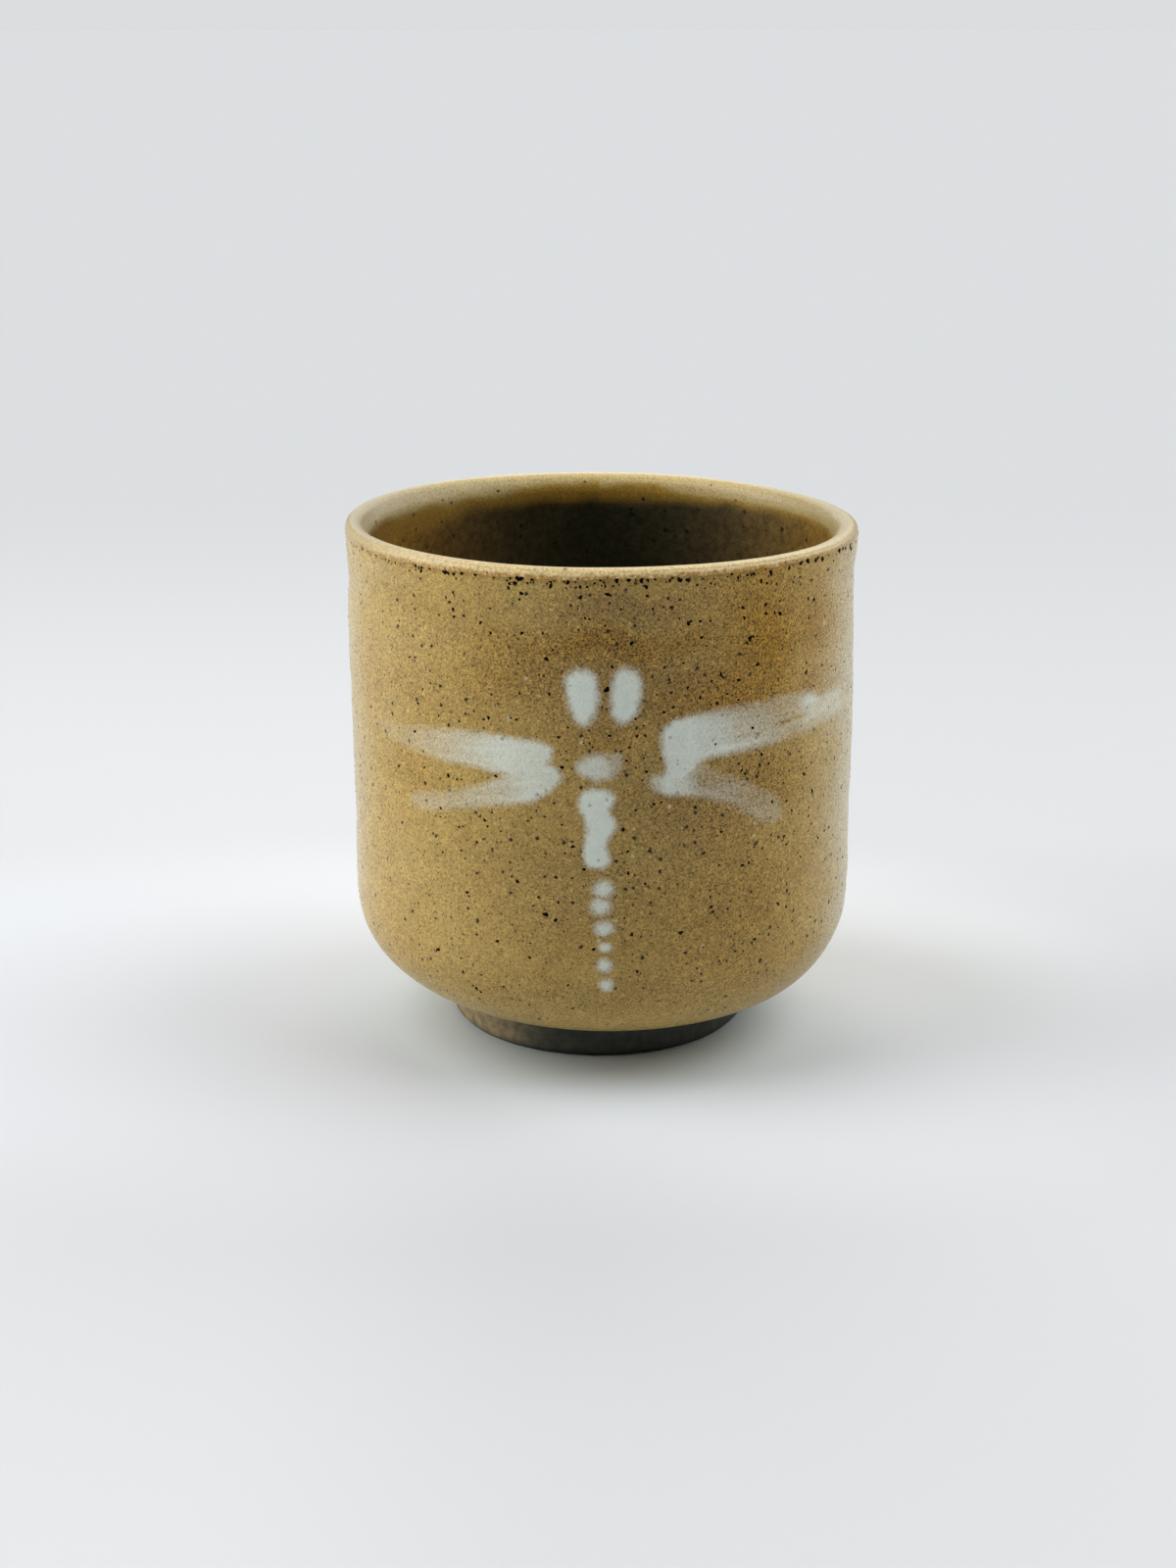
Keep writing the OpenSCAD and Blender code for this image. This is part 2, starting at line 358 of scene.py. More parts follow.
def turned_bowl(name, r, z, relief=None):
    """A closed solid turned on the wheel, whose outline starts and ends on the axis: its first and
    last point are single poles, joined to their neighbours by fans. relief changes heights by
    radius and angle."""
    phi = np.arange(AROUND) * 2 * np.pi / AROUND
    radius = np.repeat(r[1:-1, None], AROUND, axis=1)
    height = np.repeat(z[1:-1, None], AROUND, axis=1)
    if relief is not None:
        height = height + relief(radius, phi[None, :], height)
    rings = place(radius, phi[None, :], height).reshape(-1, 3)
    poles = np.array([[0, 0, z[0]], [0, 0, z[-1]]])
    points = np.concatenate([rings, poles])
    rows = len(r) - 2
    here = np.arange(AROUND)
    after = (here + 1) % AROUND
    first = np.full(AROUND, rows * AROUND)
    start = np.stack([first, after, here], axis=-1)
    base = (rows - 1) * AROUND
    end = np.stack([first + 1, base + here, base + after], axis=-1)
    faces = lattice(rows, AROUND).tolist() + start.tolist() + end.tolist()
    return finish_mesh(name, points, faces)


def write_attribute(piece, name, values):
    """Gives each point of a piece one number, which its material reads by name."""
    attribute = piece.data.attributes.new(name, "FLOAT", "POINT")
    attribute.data.foreach_set("value", np.asarray(values, np.float32).ravel())


def points_of(piece):
    """The points of a piece in millimetres, as rows of x, y and z."""
    flat = np.zeros(len(piece.data.vertices) * 3, np.float32)
    piece.data.vertices.foreach_get("co", flat)
    return flat.reshape(-1, 3).astype(float) / MM


# Soft patches of the ochre glaze all round the wall: arc s and height of the middle, half width,
# half height, and how strong they are. Golden patches are where the glaze ran thicker. The pale
# ones are painted sheen: they stand for the pale reflection where light grazes the wall near its
# left and right edges.
GOLDEN_PATCHES = (
    (25, 69, 9, 14, 1.0),
    (35, 71, 8, 8, 0.75),
    (38, 62, 6, 2.5, 0.7),
    (43, 66, 5, 9, 0.25),
    (21, 62, 11, 6, 0.9),
    (2, 71, 19, 2.6, 0.85),
    (-14, 66, 16, 4.5, 0.45),
    (-34, 61, 14, 5, 0.3),
    (-33, 48.5, 13, 3.2, 0.35),
    (14, 62, 12, 4, 0.5),
    (0, 57, 10, 4, 0.3),
    (26, 48, 12, 7, 0.5),
    (24, 30, 14, 11, 0.4),
    (-26, 70, 10, 5, 0.12),
    (110, 60, 30, 12, 0.6),
    (-95, 68, 26, 9, 0.6),
    (-80, 35, 20, 10, 0.3),
    (75, 30, 18, 8, 0.3),
)
PAINTED_SHEEN_PATCHES = (
    (-54, 45, 12, 60, 0.13),
    (-62, 45, 14, 60, 0.5),
    (-57, 76, 12, 7, 0.3),
    (-40, 77.5, 10, 2.2, 0.16),
    (52, 73, 10, 11, 0.36),
    (-40, 62, 14, 16, 0.09),
    (-52, 26, 14, 18, 0.14),
    (-34, 30, 14, 14, 0.05),
    (54, 42, 11, 60, 0.62),
)
# Ashen ones are where it stayed thin and brownish grey; on the front they are also painted
# shade, where the wall faces away from the lights
ASHEN_AND_SHADE_PATCHES = (
    (3, 76.5, 16, 3.5, 0.65),
    (4, 66, 21, 11, 0.55),
    (14, 48, 18, 14, 0.5),
    (0, 34, 20, 12, 0.35),
    (20, 30, 16, 12, 0.3),
    (-22, 74, 12, 4, 0.12),
    (4, 16, 40, 5, 0.3),
    (-70, 50, 16, 16, 0.3),
    (90, 48, 22, 10, 0.3),
)


# How noise bends the patches, along s and up
PATCH_BEND_S = ((5, 9, 7, 40, 0, 3),)
PATCH_BEND_Z = ((3, 8, 6, 40, 0, 4),)
# How far the crease's colour reaches down and up from it, how strongly it shows all round, and the
# angle to either side of the front where its full strength has faded, with the angle it fades over
CREASE_REACH_DOWN = 0.9
CREASE_REACH_UP = 0.85
CREASE_ALL_ROUND = 0.15
CREASE_END_ANGLE = 1.45
CREASE_FADE_ANGLE = 0.6


def patch_field(points, patches):
    """Strength from 0 to 1 of soft patches at points on the wall: for each patch a bell of the
    distance from its middle, in its own half width and height, and the strongest counts. The
    distance is bent by smooth noise so that no patch has an even outline."""
    s = angle_round(points) * mouth_r
    z = points[:, 2]
    s_bent = s + unevenness(s, z, PATCH_BEND_S)
    z_bent = z + unevenness(s, z, PATCH_BEND_Z)
    field = np.zeros(len(points))
    turn = 2 * np.pi * mouth_r
    for middle_s, middle_z, half_s, half_z, strength in patches:
        across = (s_bent - middle_s + turn / 2) % turn - turn / 2
        away = (across / half_s) ** 2 + ((z_bent - middle_z) / half_z) ** 2
        field = np.maximum(field, strength * np.exp(-away))
    return field


def write_glaze_fields(piece):
    """Gives a glazed piece the fields that its glaze reads for colour."""
    points = points_of(piece)
    write_attribute(piece, "golden", patch_field(points, GOLDEN_PATCHES))
    write_attribute(piece, "painted_sheen", patch_field(points, PAINTED_SHEEN_PATCHES))
    write_attribute(piece, "ashen_and_shade", patch_field(points, ASHEN_AND_SHADE_PATCHES))
    near = eased(1 + above_crease(points) / CREASE_REACH_DOWN)
    write_attribute(piece, "crease", near * crease_share(angle_round(points)))


def angle_round(points):
    """The angle of points round the cup's axis, from the front (-Y) towards +X."""
    return np.arctan2(points[:, 0], -points[:, 1])


def from_axis(points):
    """How far points lie from the cup's axis."""
    return np.hypot(points[:, 0], points[:, 1])


def above_crease(points):
    """How high points lie above the crease at their own angle round the cup."""
    return points[:, 2] - place(mouth_r, angle_round(points), CREASE_Z)[:, 2]


def crease_share(phi):
    """How strongly the crease shows at an angle round the cup, from 0 to 1: it is strongest in
    front and fades out to the left and the right."""
    in_front = eased((CREASE_END_ANGLE - np.abs(phi)) / CREASE_FADE_ANGLE)
    return CREASE_ALL_ROUND + (1 - CREASE_ALL_ROUND) * in_front


# Outlines of the brush strokes on the wall, in order round each one: arc s, height z
EYE_LEFT = (
    (-2.2, 67.6), (-3.8, 67.3), (-5.0, 66.5), (-5.2, 65.0), (-4.9, 63.2), (-4.4, 61.4),
    (-3.8, 60.0), (-2.8, 59.4), (-1.6, 59.9), (-0.8, 61.3), (-0.4, 63.2), (-0.5, 65.4),
    (-1.0, 66.9),
)
EYE_RIGHT = (
    (3.6, 67.8), (5.0, 67.3), (5.8, 66.0), (5.8, 64.3), (5.5, 62.2), (4.6, 60.4), (3.1, 59.6),
    (2.0, 60.1), (1.4, 61.2), (1.3, 63.0), (1.5, 65.2), (1.9, 66.8), (2.5, 67.5),
)
THORAX = (
    (-3.9, 52.7), (-3.5, 53.6), (-2.6, 54.3), (-1.3, 54.9), (0.0, 55.0), (0.9, 54.6),
    (1.6, 55.0), (2.6, 54.9), (2.9, 54.1), (2.6, 53.0), (1.9, 52.0), (0.6, 51.2), (-1.2, 51.0),
    (-2.9, 51.6),
)
ABDOMEN = (
    (-1.6, 49.7), (-0.4, 49.5), (0.6, 49.5), (1.5, 48.9), (1.7, 48.0), (1.3, 46.9), (1.0, 46.0),
    (1.7, 45.0), (2.0, 44.0), (1.5, 42.6), (0.7, 41.2), (0.9, 39.6), (1.0, 38.3), (0.3, 37.5),
    (-1.1, 37.4), (-2.3, 37.6), (-2.8, 38.6), (-2.8, 40.0), (-2.6, 41.5), (-2.4, 43.0),
    (-2.6, 44.6), (-3.1, 45.8), (-3.6, 46.8), (-3.5, 48.0), (-2.8, 49.1),
)
WING_UPPER_LEFT = (
    (-7.2, 54.8), (-7.6, 56.0), (-9.0, 56.5), (-12.0, 56.8), (-16.0, 57.0), (-20.0, 56.9),
    (-24.0, 56.6), (-28.0, 56.1), (-34.0, 55.6), (-40.0, 55.2), (-45.0, 54.6), (-46.0, 53.9),
    (-45.0, 53.3), (-40.0, 52.8), (-36.0, 52.3), (-32.0, 52.0), (-28.0, 51.8), (-24.0, 51.6),
    (-20.0, 51.5), (-16.5, 51.2), (-12.0, 50.9), (-9.5, 52.0), (-7.9, 53.2),
)
WING_LOWER_LEFT = (
    (-5.9, 51.2), (-6.1, 52.1), (-6.8, 52.8), (-8.0, 53.2), (-10.0, 53.2), (-12.5, 52.6),
    (-15.0, 51.2), (-16.5, 50.1), (-20.0, 48.4), (-24.0, 47.0), (-28.0, 46.2), (-30.0, 45.7),
    (-31.8, 44.9), (-32.4, 44.0), (-31.6, 43.2), (-30.0, 42.9), (-28.0, 43.2), (-24.0, 44.4),
    (-20.0, 45.1), (-16.0, 46.2), (-12.0, 46.9), (-10.0, 47.5), (-8.0, 48.7), (-6.6, 50.0),
)
WING_UPPER_RIGHT = (
    (10.0, 59.5), (8.9, 58.4), (8.6, 56.6), (8.9, 54.5), (9.3, 52.8), (9.4, 51.2), (11.4, 50.4),
    (13.2, 51.6), (15.0, 53.3), (18.0, 53.6), (22.0, 53.8), (26.0, 54.0), (30.0, 54.3), (36.0, 54.6),
    (40.0, 54.8), (45.0, 54.8), (48.5, 55.2), (49.3, 56.8), (48.2, 58.4), (46.0, 58.9),
    (42.0, 59.3), (39.6, 59.2), (38.2, 59.5), (37.0, 60.2), (34.0, 60.8), (30.0, 61.1),
    (24.0, 61.0), (18.0, 60.8), (14.0, 60.5), (11.8, 60.1),
)
WING_LOWER_RIGHT = (
    (6.6, 50.8), (7.3, 51.5), (8.8, 51.8), (10.2, 53.4), (12.6, 54.0), (14.4, 53.2), (16.0, 52.1),
    (18.0, 51.1), (22.0, 49.3), (24.0, 48.3), (26.0, 47.1), (27.8, 45.9), (28.9, 44.8),
    (29.5, 43.6), (29.3, 42.4), (28.3, 41.7), (27.2, 41.7), (25.8, 42.1), (24.0, 43.0),
    (22.0, 44.1), (20.0, 45.4), (18.0, 46.4), (16.0, 47.2), (14.0, 47.9), (12.0, 48.2),
    (10.0, 48.4), (8.2, 49.0), (7.1, 49.8),
)
# Dots of the tail: arc s, height z, half width, half height
TAIL_DOTS = (
    (0.1, 34.1, 1.45, 1.3),
    (-0.3, 31.4, 1.45, 1.3),
    (0.2, 27.9, 1.4, 1.1),
    (0.4, 25.0, 1.0, 0.75),
    (0.3, 22.0, 1.15, 1.1),
    (0.6, 18.7, 1.0, 1.0),
)
# Half the width of the soft edge of a stroke: of most strokes, and of the loose ones
EDGE_SOFT = 0.7
LOOSE_SOFT = 0.95
# Strokes of even slip: outline, half the width of the edge, and how much slip the brush left
EVEN_STROKES = (
    (EYE_LEFT, LOOSE_SOFT, 1.0),
    (EYE_RIGHT, LOOSE_SOFT, 1.0),
    (THORAX, LOOSE_SOFT, 0.84),
    (ABDOMEN, EDGE_SOFT, 1.0),
)
# How much slip it left in a dot of the tail
DOT_LOAD = 0.92
# Wings: outline, how much slip the brush left along it by arc s, and how the stroke rises along s
WINGS = (
    (WING_UPPER_LEFT, ((-46, 0.0), (-40, 0.1), (-34, 0.18), (-30, 0.28), (-27, 0.38), (-23, 0.53),
                       (-19, 0.72), (-15, 0.88)), 0.03),
    (WING_LOWER_LEFT, ((-33, 0.25), (-30, 0.34), (-25, 0.38), (-20, 0.47), (-15, 0.62),
                       (-11, 0.87)), 0.24),
    (WING_UPPER_RIGHT, ((13, 0.97), (18, 0.8), (21, 0.58), (28, 0.43), (32, 0.42), (35, 0.62),
                        (44, 0.58), (46, 0.4), (49, 0.08)), 0.06),
    (WING_LOWER_RIGHT, ((6, 0.35), (8.5, 0.8), (9.5, 0.95), (12.5, 0.78), (15, 0.37), (22, 0.29),
                        (30, 0.28)), -0.35),
)
# Places with less slip still, or with more of it: arc s, height z, half width, half height, and
# the share by which the slip grows there
UNEVEN_PLACES = (
    (2.3, 53.8, 1.6, 1.8, -0.45),
    (21.0, 60.5, 8.0, 1.0, -0.3),
    (29.5, 59.4, 3.2, 1.4, -0.2),
    (38.0, 55.0, 8.0, 0.8, -0.3),
    (29.8, 57.1, 1.8, 0.32, -0.85),
    (33.3, 57.15, 1.5, 0.3, -0.75),
    (30.5, 58.1, 2.6, 0.22, -0.3),
    (17.0, 51.0, 3.5, 1.3, -0.35),
    (26.0, 47.6, 2.6, 1.2, -0.4),
    (-23.0, 53.6, 3.5, 0.5, -0.12),
    (-19.0, 52.4, 3.0, 0.5, -0.1),
    (24.0, 55.0, 6.0, 0.8, 0.35),
    (36.0, 58.9, 2.2, 1.2, 0.3),
    (17.5, 47.9, 3.5, 0.9, 0.3),
    (26.0, 43.6, 3.0, 0.8, 0.2),
)
# Noises that fray the edge of a stroke and of a dot, and that streak a wing along its brush stroke
FRAYED = ((0.35, 0.9, 0.9, 90, 0, 11), (0.3, 0.35, 0.35, 200, 0, 12))
FRAYED_DOT = ((0.3, 0.6, 0.6, 90, 0, 13),)
STREAKS = ((0.54, 9, 0.8, 60, 90, 21), (0.36, 4, 0.4, 70, 90, 22))
# The load of slip that would hide the streaks, and how much softer an edge is where none is left
STREAKLESS_LOAD = 1.05
DRY_EDGE_SOFTER = 0.5
# The front of a stroke rises to its full lift at this share of full cover
LIFTED_COVER = 1 / 6
# Distance between the points of a stroke
SLIP_STEP = 0.2


def smooth_outline(corner_points, steps=5):
    """A closed smooth curve through the corner points: between two of them the Catmull-Rom cubic
    of the four nearest, read at even steps."""
    p = np.array(corner_points, float)
    before, after, beyond = np.roll(p, 1, 0), np.roll(p, -1, 0), np.roll(p, -2, 0)
    t = (np.arange(steps) / steps)[None, :, None]
    before, here = before[:, None], p[:, None]
    after, beyond = after[:, None], beyond[:, None]
    curve = here + t * ((after - before) + t * (
        (2 * before - 5 * here + 4 * after - beyond)
        + t * (3 * (here - after) + beyond - before))) / 2
    return curve.reshape(-1, 2)


def depth_inside(s, z, outline):
    """How far places lie inside a closed outline, negative outside: the least distance to any of
    its sides, with the sign from how many sides a ray to the right crosses."""
    a = outline
    b = np.roll(outline, -1, 0)
    side = b - a
    ds = s[..., None] - a[:, 0]
    dz = z[..., None] - a[:, 1]
    along = np.clip((ds * side[:, 0] + dz * side[:, 1]) / (side ** 2).sum(1), 0, 1)
    distance = np.hypot(ds - along * side[:, 0], dz - along * side[:, 1]).min(-1)
    spans = (a[:, 1] > z[..., None]) != (b[:, 1] > z[..., None])
    height = np.where(side[:, 1] == 0, 1e-9, side[:, 1])
    crossed = spans & (ds < dz / height * side[:, 0])
    return np.where(crossed.sum(-1) % 2 == 1, distance, -distance)


def stroke_cover(s, z, corner_points, soft):
    """How far a stroke covers, 0 to 1: an eased step over its soft edge, whose line is frayed by
    two sizes of smooth noise."""
    depth = depth_inside(s, z, smooth_outline(corner_points)) + unevenness(s, z, FRAYED)
    return eased((depth + soft) / (2 * soft))


def wing_cover(s, z, corner_points, load, slope):
    """A wing's cover: the stroke's cover times the slip left at that arc, thinned by streaks that
    run along the stroke. load is the slip left by arc s, and slope the stroke's rise along s."""
    slip_left = np.interp(s, *np.array(load, float).T)
    streaks = unevenness(s, z - slope * s, STREAKS)
    thinned = slip_left * (1 + streaks * (STREAKLESS_LOAD - slip_left))
    loose = EDGE_SOFT + DRY_EDGE_SOFTER * (1 - slip_left)
    return stroke_cover(s, z, corner_points, loose) * np.clip(thinned, 0, 1)


def slip_cover(s, z):
    """How much white slip lies at places on the wall, 0 to 1: the most that any stroke leaves
    there, changed by the share of each uneven place, a bell round its middle."""
    strokes = [left * stroke_cover(s, z, outline, soft) for outline, soft, left in EVEN_STROKES]
    strokes += [wing_cover(s, z, *wing) for wing in WINGS]
    for middle_s, middle_z, half_s, half_z in TAIL_DOTS:
        away = np.hypot((s - middle_s) / half_s, (z - middle_z) / half_z)
        depth = 1 - away + unevenness(s, z, FRAYED_DOT)
        strokes.append(DOT_LOAD * eased((depth + EDGE_SOFT) / (2 * EDGE_SOFT)))
    cover = np.max(strokes, axis=0)
    for middle_s, middle_z, half_s, half_z, growth in UNEVEN_PLACES:
        away = ((s - middle_s) / half_s) ** 4 + ((z - middle_z) / half_z) ** 2
        cover = cover * (1 + growth * np.exp(-away))
    return np.clip(cover, 0, 1)


def slip_points(s, z):
    """Front and back points of a layer of slip over a grid of places, and its cover. The front
    lies just outside the glaze where there is slip and sinks under it where there is none."""
    cover = slip_cover(s, z)
    lift = (SLIP_SINK + SLIP_LIFT) * eased(cover / LIFTED_COVER) - SLIP_SINK + SLIP_BODY * cover ** 2
    return on_wall(s, z, lift), on_wall(s, z, -SLIP_BACK), cover


def slab_faces(rows, columns, first):
    """Faces of a closed slab whose front points come first and its back points after them: both
    grids and a strip along each of the four borders."""
    count = rows * columns
    number = first + np.arange(count).reshape(rows, columns)
    front = lattice(rows, columns, first, wrap=False)
    back = lattice(rows, columns, first + count, wrap=False)[:, ::-1]
    loop = np.concatenate([number[0, :-1], number[:-1, -1], number[-1, :0:-1], number[:0:-1, 0]])
    after = np.roll(loop, -1)
    border = np.stack([after, loop, loop + count, after + count], axis=-1)
    return np.concatenate([front, back, border])


def slip_piece(name, regions):
    """One stroke, or several, as closed layers. A region is its first and last arc s and two lines
    of (s, z) points, its lower and its upper border, with even rows between them."""
    points, faces, covers = [], [], []
    first = 0
    for s_first, s_last, lower, upper in regions:
        s = np.linspace(s_first, s_last, int((s_last - s_first) / SLIP_STEP) + 2)
        low = np.interp(s, *np.array(lower, float).T)
        high = np.interp(s, *np.array(upper, float).T)
        rows = int((high - low).max() / SLIP_STEP) + 2
        share = np.linspace(0, 1, rows)[:, None]
        height = low + (high - low) * share
        arc = np.repeat(s[None, :], rows, axis=0)
        front, back, cover = slip_points(arc, height)
        points += [front.reshape(-1, 3), back.reshape(-1, 3)]
        covers += [cover.ravel(), np.zeros(cover.size)]
        faces.append(slab_faces(rows, len(s), first))
        first += 2 * cover.size
    piece = finish_mesh(name, np.concatenate(points), np.concatenate(faces).tolist())
    write_attribute(piece, "slip", np.concatenate(covers))
    write_glaze_fields(piece)
    return piece


def level(z, reach=60):
    """A border that keeps one height."""
    return ((-reach, z), (reach, z))


# Where the upper and lower wing of each side meet, and below the crotch the middle between them
LEFT_PARTING = ((-47, 50.2), (-24, 49.4), (-20, 50.1), (-15.5, 51.0), (-7.6, 53.3), (-5, 53.9))
RIGHT_PARTING = ((5, 51.5), (8.9, 52.1), (14.3, 53.2), (18, 52.4), (24, 51.3), (30, 49.5),
                 (51, 52.0))
# Height where the thorax and the abdomen part, the arc between the eyes, and the one where the
# thorax's region begins and the lower left wing's ends
WAIST_Z = 50.15
BETWEEN_EYES = 0.4
THORAX_LEFT = -4.75
# Heights between the dots of the tail, from the top down, and how far their regions reach sideways
DOT_PARTINGS = (36.2, 32.75, 29.55, 26.3, 23.7, 20.3, 16.9)
DOT_REACH = 2.5


def dot_regions():
    """One region for each dot of the tail, from one parting to the next."""
    return [
        (middle_s - DOT_REACH, middle_s + DOT_REACH, level(below), level(above))
        for (middle_s, _, _, _), above, below in zip(TAIL_DOTS, DOT_PARTINGS, DOT_PARTINGS[1:])
    ]


SLIP_REGIONS = {
    "slip_eye_left": [(-6.7, BETWEEN_EYES, level(58.3), level(68.9))],
    "slip_eye_right": [(BETWEEN_EYES, 7.2, level(58.3), level(68.9))],
    "slip_thorax": [(THORAX_LEFT, 4.1, level(WAIST_Z), level(56.2))],
    "slip_abdomen": [(-4.4, 2.9, level(36.4), level(WAIST_Z))],
    "slip_tail_dots": dot_regions(),
    "slip_wing_upper_left": [
        (-47.0, -5.7, LEFT_PARTING, ((-47, 56.4), (-20, 58.1), (-5, 57.5)))],
    "slip_wing_lower_left": [
        (-34.4, THORAX_LEFT, ((-35, 41.6), (-28, 42.0), (-4, 46.8)), LEFT_PARTING)],
    "slip_wing_upper_right": [
        (7.2, 50.8, RIGHT_PARTING, ((5, 61.1), (20, 62.0), (38, 61.8), (51, 60.0)))],
    "slip_wing_lower_right": [
        (5.1, 30.9, ((5, 47.8), (10, 46.8), (24, 41.2), (31, 40.5)), RIGHT_PARTING)],
}


# Iron specks that show as single marks on the front: arc s, height z, radius
IRON_SPECKS = (
    (-7.9, 68.9, 0.42), (-6.3, 57.4, 0.32), (0.8, 64.7, 0.42), (-24.4, 49.4, 0.38),
    (-25.3, 63.0, 0.3), (-8.5, 29.8, 0.5), (-7.0, 29.0, 0.38), (23.0, 70.7, 0.5),
    (22.4, 70.1, 0.3), (23.6, 70.9, 0.28), (24.4, 66.7, 0.4), (25.7, 65.3, 0.25),
    (25.8, 75.3, 0.4), (25.9, 74.0, 0.35), (27.6, 73.9, 0.3), (28.7, 73.6, 0.45),
    (28.6, 75.5, 0.25), (36.8, 74.4, 0.4), (12.7, 64.5, 0.3), (19.0, 63.0, 0.25),
    (7.5, 47.2, 0.3), (8.6, 47.4, 0.26), (-20.8, 15.6, 0.4), (-20.2, 15.1, 0.3),
    (-21.3, 16.1, 0.25), (-27.2, 21.0, 0.32), (-22.3, 38.0, 0.25), (-11.6, 78.2, 0.38),
    (-11.9, 77.3, 0.25), (-3.0, 78.0, 0.38), (1.2, 78.3, 0.25), (6.5, 78.1, 0.3),
    (7.4, 76.2, 0.25), (9.0, 76.4, 0.22), (10.0, 76.4, 0.2), (-24.0, 76.3, 0.25),
    (-23.4, 75.7, 0.3), (-22.8, 74.7, 0.35), (-21.0, 74.0, 0.28), (-28.6, 79.6, 0.35),
    (-2.3, 75.0, 0.25), (0.5, 73.9, 0.25), (13.1, 74.1, 0.28), (14.6, 74.0, 0.28),
    (-16.5, 72.0, 0.28), (-8.5, 72.6, 0.25), (-9.0, 66.5, 0.2), (24.5, 78.9, 0.35),
    (25.6, 78.5, 0.3), (27.5, 78.2, 0.25), (31.0, 78.0, 0.25), (35.5, 77.6, 0.3),
    (40.0, 78.4, 0.3), (1.6, 68.0, 0.3), (9.1, 61.1, 0.33), (9.2, 67.7, 0.25), (4.9, 60.3, 0.2),
    (-8.3, 66.4, 0.2), (1.1, 57.8, 0.3), (5.1, 57.7, 0.3), (6.3, 57.7, 0.28), (-1.8, 56.6, 0.2),
    (-1.4, 56.1, 0.2), (2.7, 55.4, 0.2), (3.9, 56.0, 0.25), (3.5, 54.0, 0.28), (6.0, 54.3, 0.22),
    (4.8, 46.4, 0.25), (-4.4, 40.7, 0.34), (3.7, 40.0, 0.28), (6.9, 39.9, 0.28),
    (-6.0, 44.0, 0.2), (-5.5, 39.6, 0.2), (-17.0, 59.4, 0.35), (-30.0, 59.5, 0.3),
    (-12.6, 59.6, 0.25), (-4.9, 58.9, 0.22), (-16.1, 50.6, 0.25), (-29.2, 49.7, 0.25),
    (-30.9, 55.0, 0.25), (-36.4, 56.5, 0.28), (-35.2, 48.6, 0.3), (-22.0, 49.2, 0.2),
    (-26.0, 44.0, 0.22), (-18.8, 44.0, 0.25), (-17.6, 42.6, 0.25), (-10.6, 44.8, 0.2),
    (-16.8, 44.9, 0.25), (-21.8, 41.9, 0.2), (16.3, 61.7, 0.2), (14.6, 62.9, 0.3),
    (23.4, 57.2, 0.25), (17.0, 55.6, 0.2), (25.1, 52.8, 0.34), (24.8, 51.2, 0.34),
    (26.6, 51.1, 0.28), (21.5, 50.9, 0.3), (22.1, 50.3, 0.3), (24.5, 50.0, 0.25),
    (28.5, 49.2, 0.2), (30.9, 49.1, 0.22), (33.3, 51.6, 0.2), (13.8, 46.2, 0.3),
    (9.8, 45.5, 0.2), (27.4, 44.9, 0.24), (30.5, 44.4, 0.28), (36.2, 42.0, 0.25),
    (18.2, 41.8, 0.28), (27.4, 39.7, 0.28), (36.8, 61.2, 0.25),
)
# Seeded specks over the rest of the wall and along the crease under the rim: how many, and their
# least and greatest radius
WALL_SPECKS = 1150
CREASE_SPECKS = 330
SPECK_LEAST = 0.14
SPECK_MOST = 0.4
# On the pale left side they are smaller: the share they lose, arc s of the middle, half width
SMALLER_LEFT = ((0.42, -38, 16),)
# The specks of the wall lie from this height up to a little below the crease. A power below 1 draws
# them up, and a higher one keeps most specks small
SPECKS_FROM_Z = 16
SPECKS_BELOW_CREASE = 0.5
DRAWN_UP = 0.8
MOSTLY_SMALL = 2.6
# The specks of the crease lie just below it, most of them close. Above CREASE_SPECKS_Z all specks
# are thinned where the crease shows less
CREASE_SPECKS_BELOW = 0.15
CREASE_SPECKS_TALL = 1.1
MOSTLY_CLOSE = 2
CREASE_SPECKS_Z = CREASE_Z - 1.3
# No seeded speck lies on more slip than this
BARE_COVER = 0.05
# A speck's shape: rings and sides, two waves of its outline, how high its front lies in the middle
# and near it, how far it sinks at the edge, how deep its back is, and the angle in degrees above
# which its edges stay sharp
SPECK_RINGS = 3
SPECK_SIDES = 10
SPECK_WAVES = (0.22, 0.16)
SPECK_TOP = 0.04
SPECK_DOME = 0.035
SPECK_SINK = 0.06
SPECK_BACK = 0.25
SPECK_SHARP = 60


def iron_specks():
    """Arc, height and radius of every speck. The seeded ones lie anywhere on the wall but on the
    strokes, thicker towards the rim and just under the crease, where the glaze drew them
    together, and smaller on the left side."""
    random = np.random.default_rng(17)
    count = WALL_SPECKS + CREASE_SPECKS
    arcs = random.uniform(-np.pi, np.pi, count) * mouth_r
    wall_tall = CREASE_Z - SPECKS_BELOW_CREASE - SPECKS_FROM_Z
    heights = SPECKS_FROM_Z + wall_tall * random.random(count) ** DRAWN_UP
    below = CREASE_SPECKS_BELOW + CREASE_SPECKS_TALL * random.random(count) ** MOSTLY_CLOSE
    heights[WALL_SPECKS:] = CREASE_Z - below[WALL_SPECKS:]
    radii = SPECK_LEAST + (SPECK_MOST - SPECK_LEAST) * random.random(count) ** MOSTLY_SMALL
    radii *= 1 - bells(arcs, SMALLER_LEFT)
    bare = slip_cover(arcs, heights) < BARE_COVER
    kept = (random.random(count) < crease_share(arcs / mouth_r)) | (heights < CREASE_SPECKS_Z)
    seeded = np.stack([arcs, heights, radii], axis=1)[bare & kept]
    return np.concatenate([np.array(IRON_SPECKS), seeded])


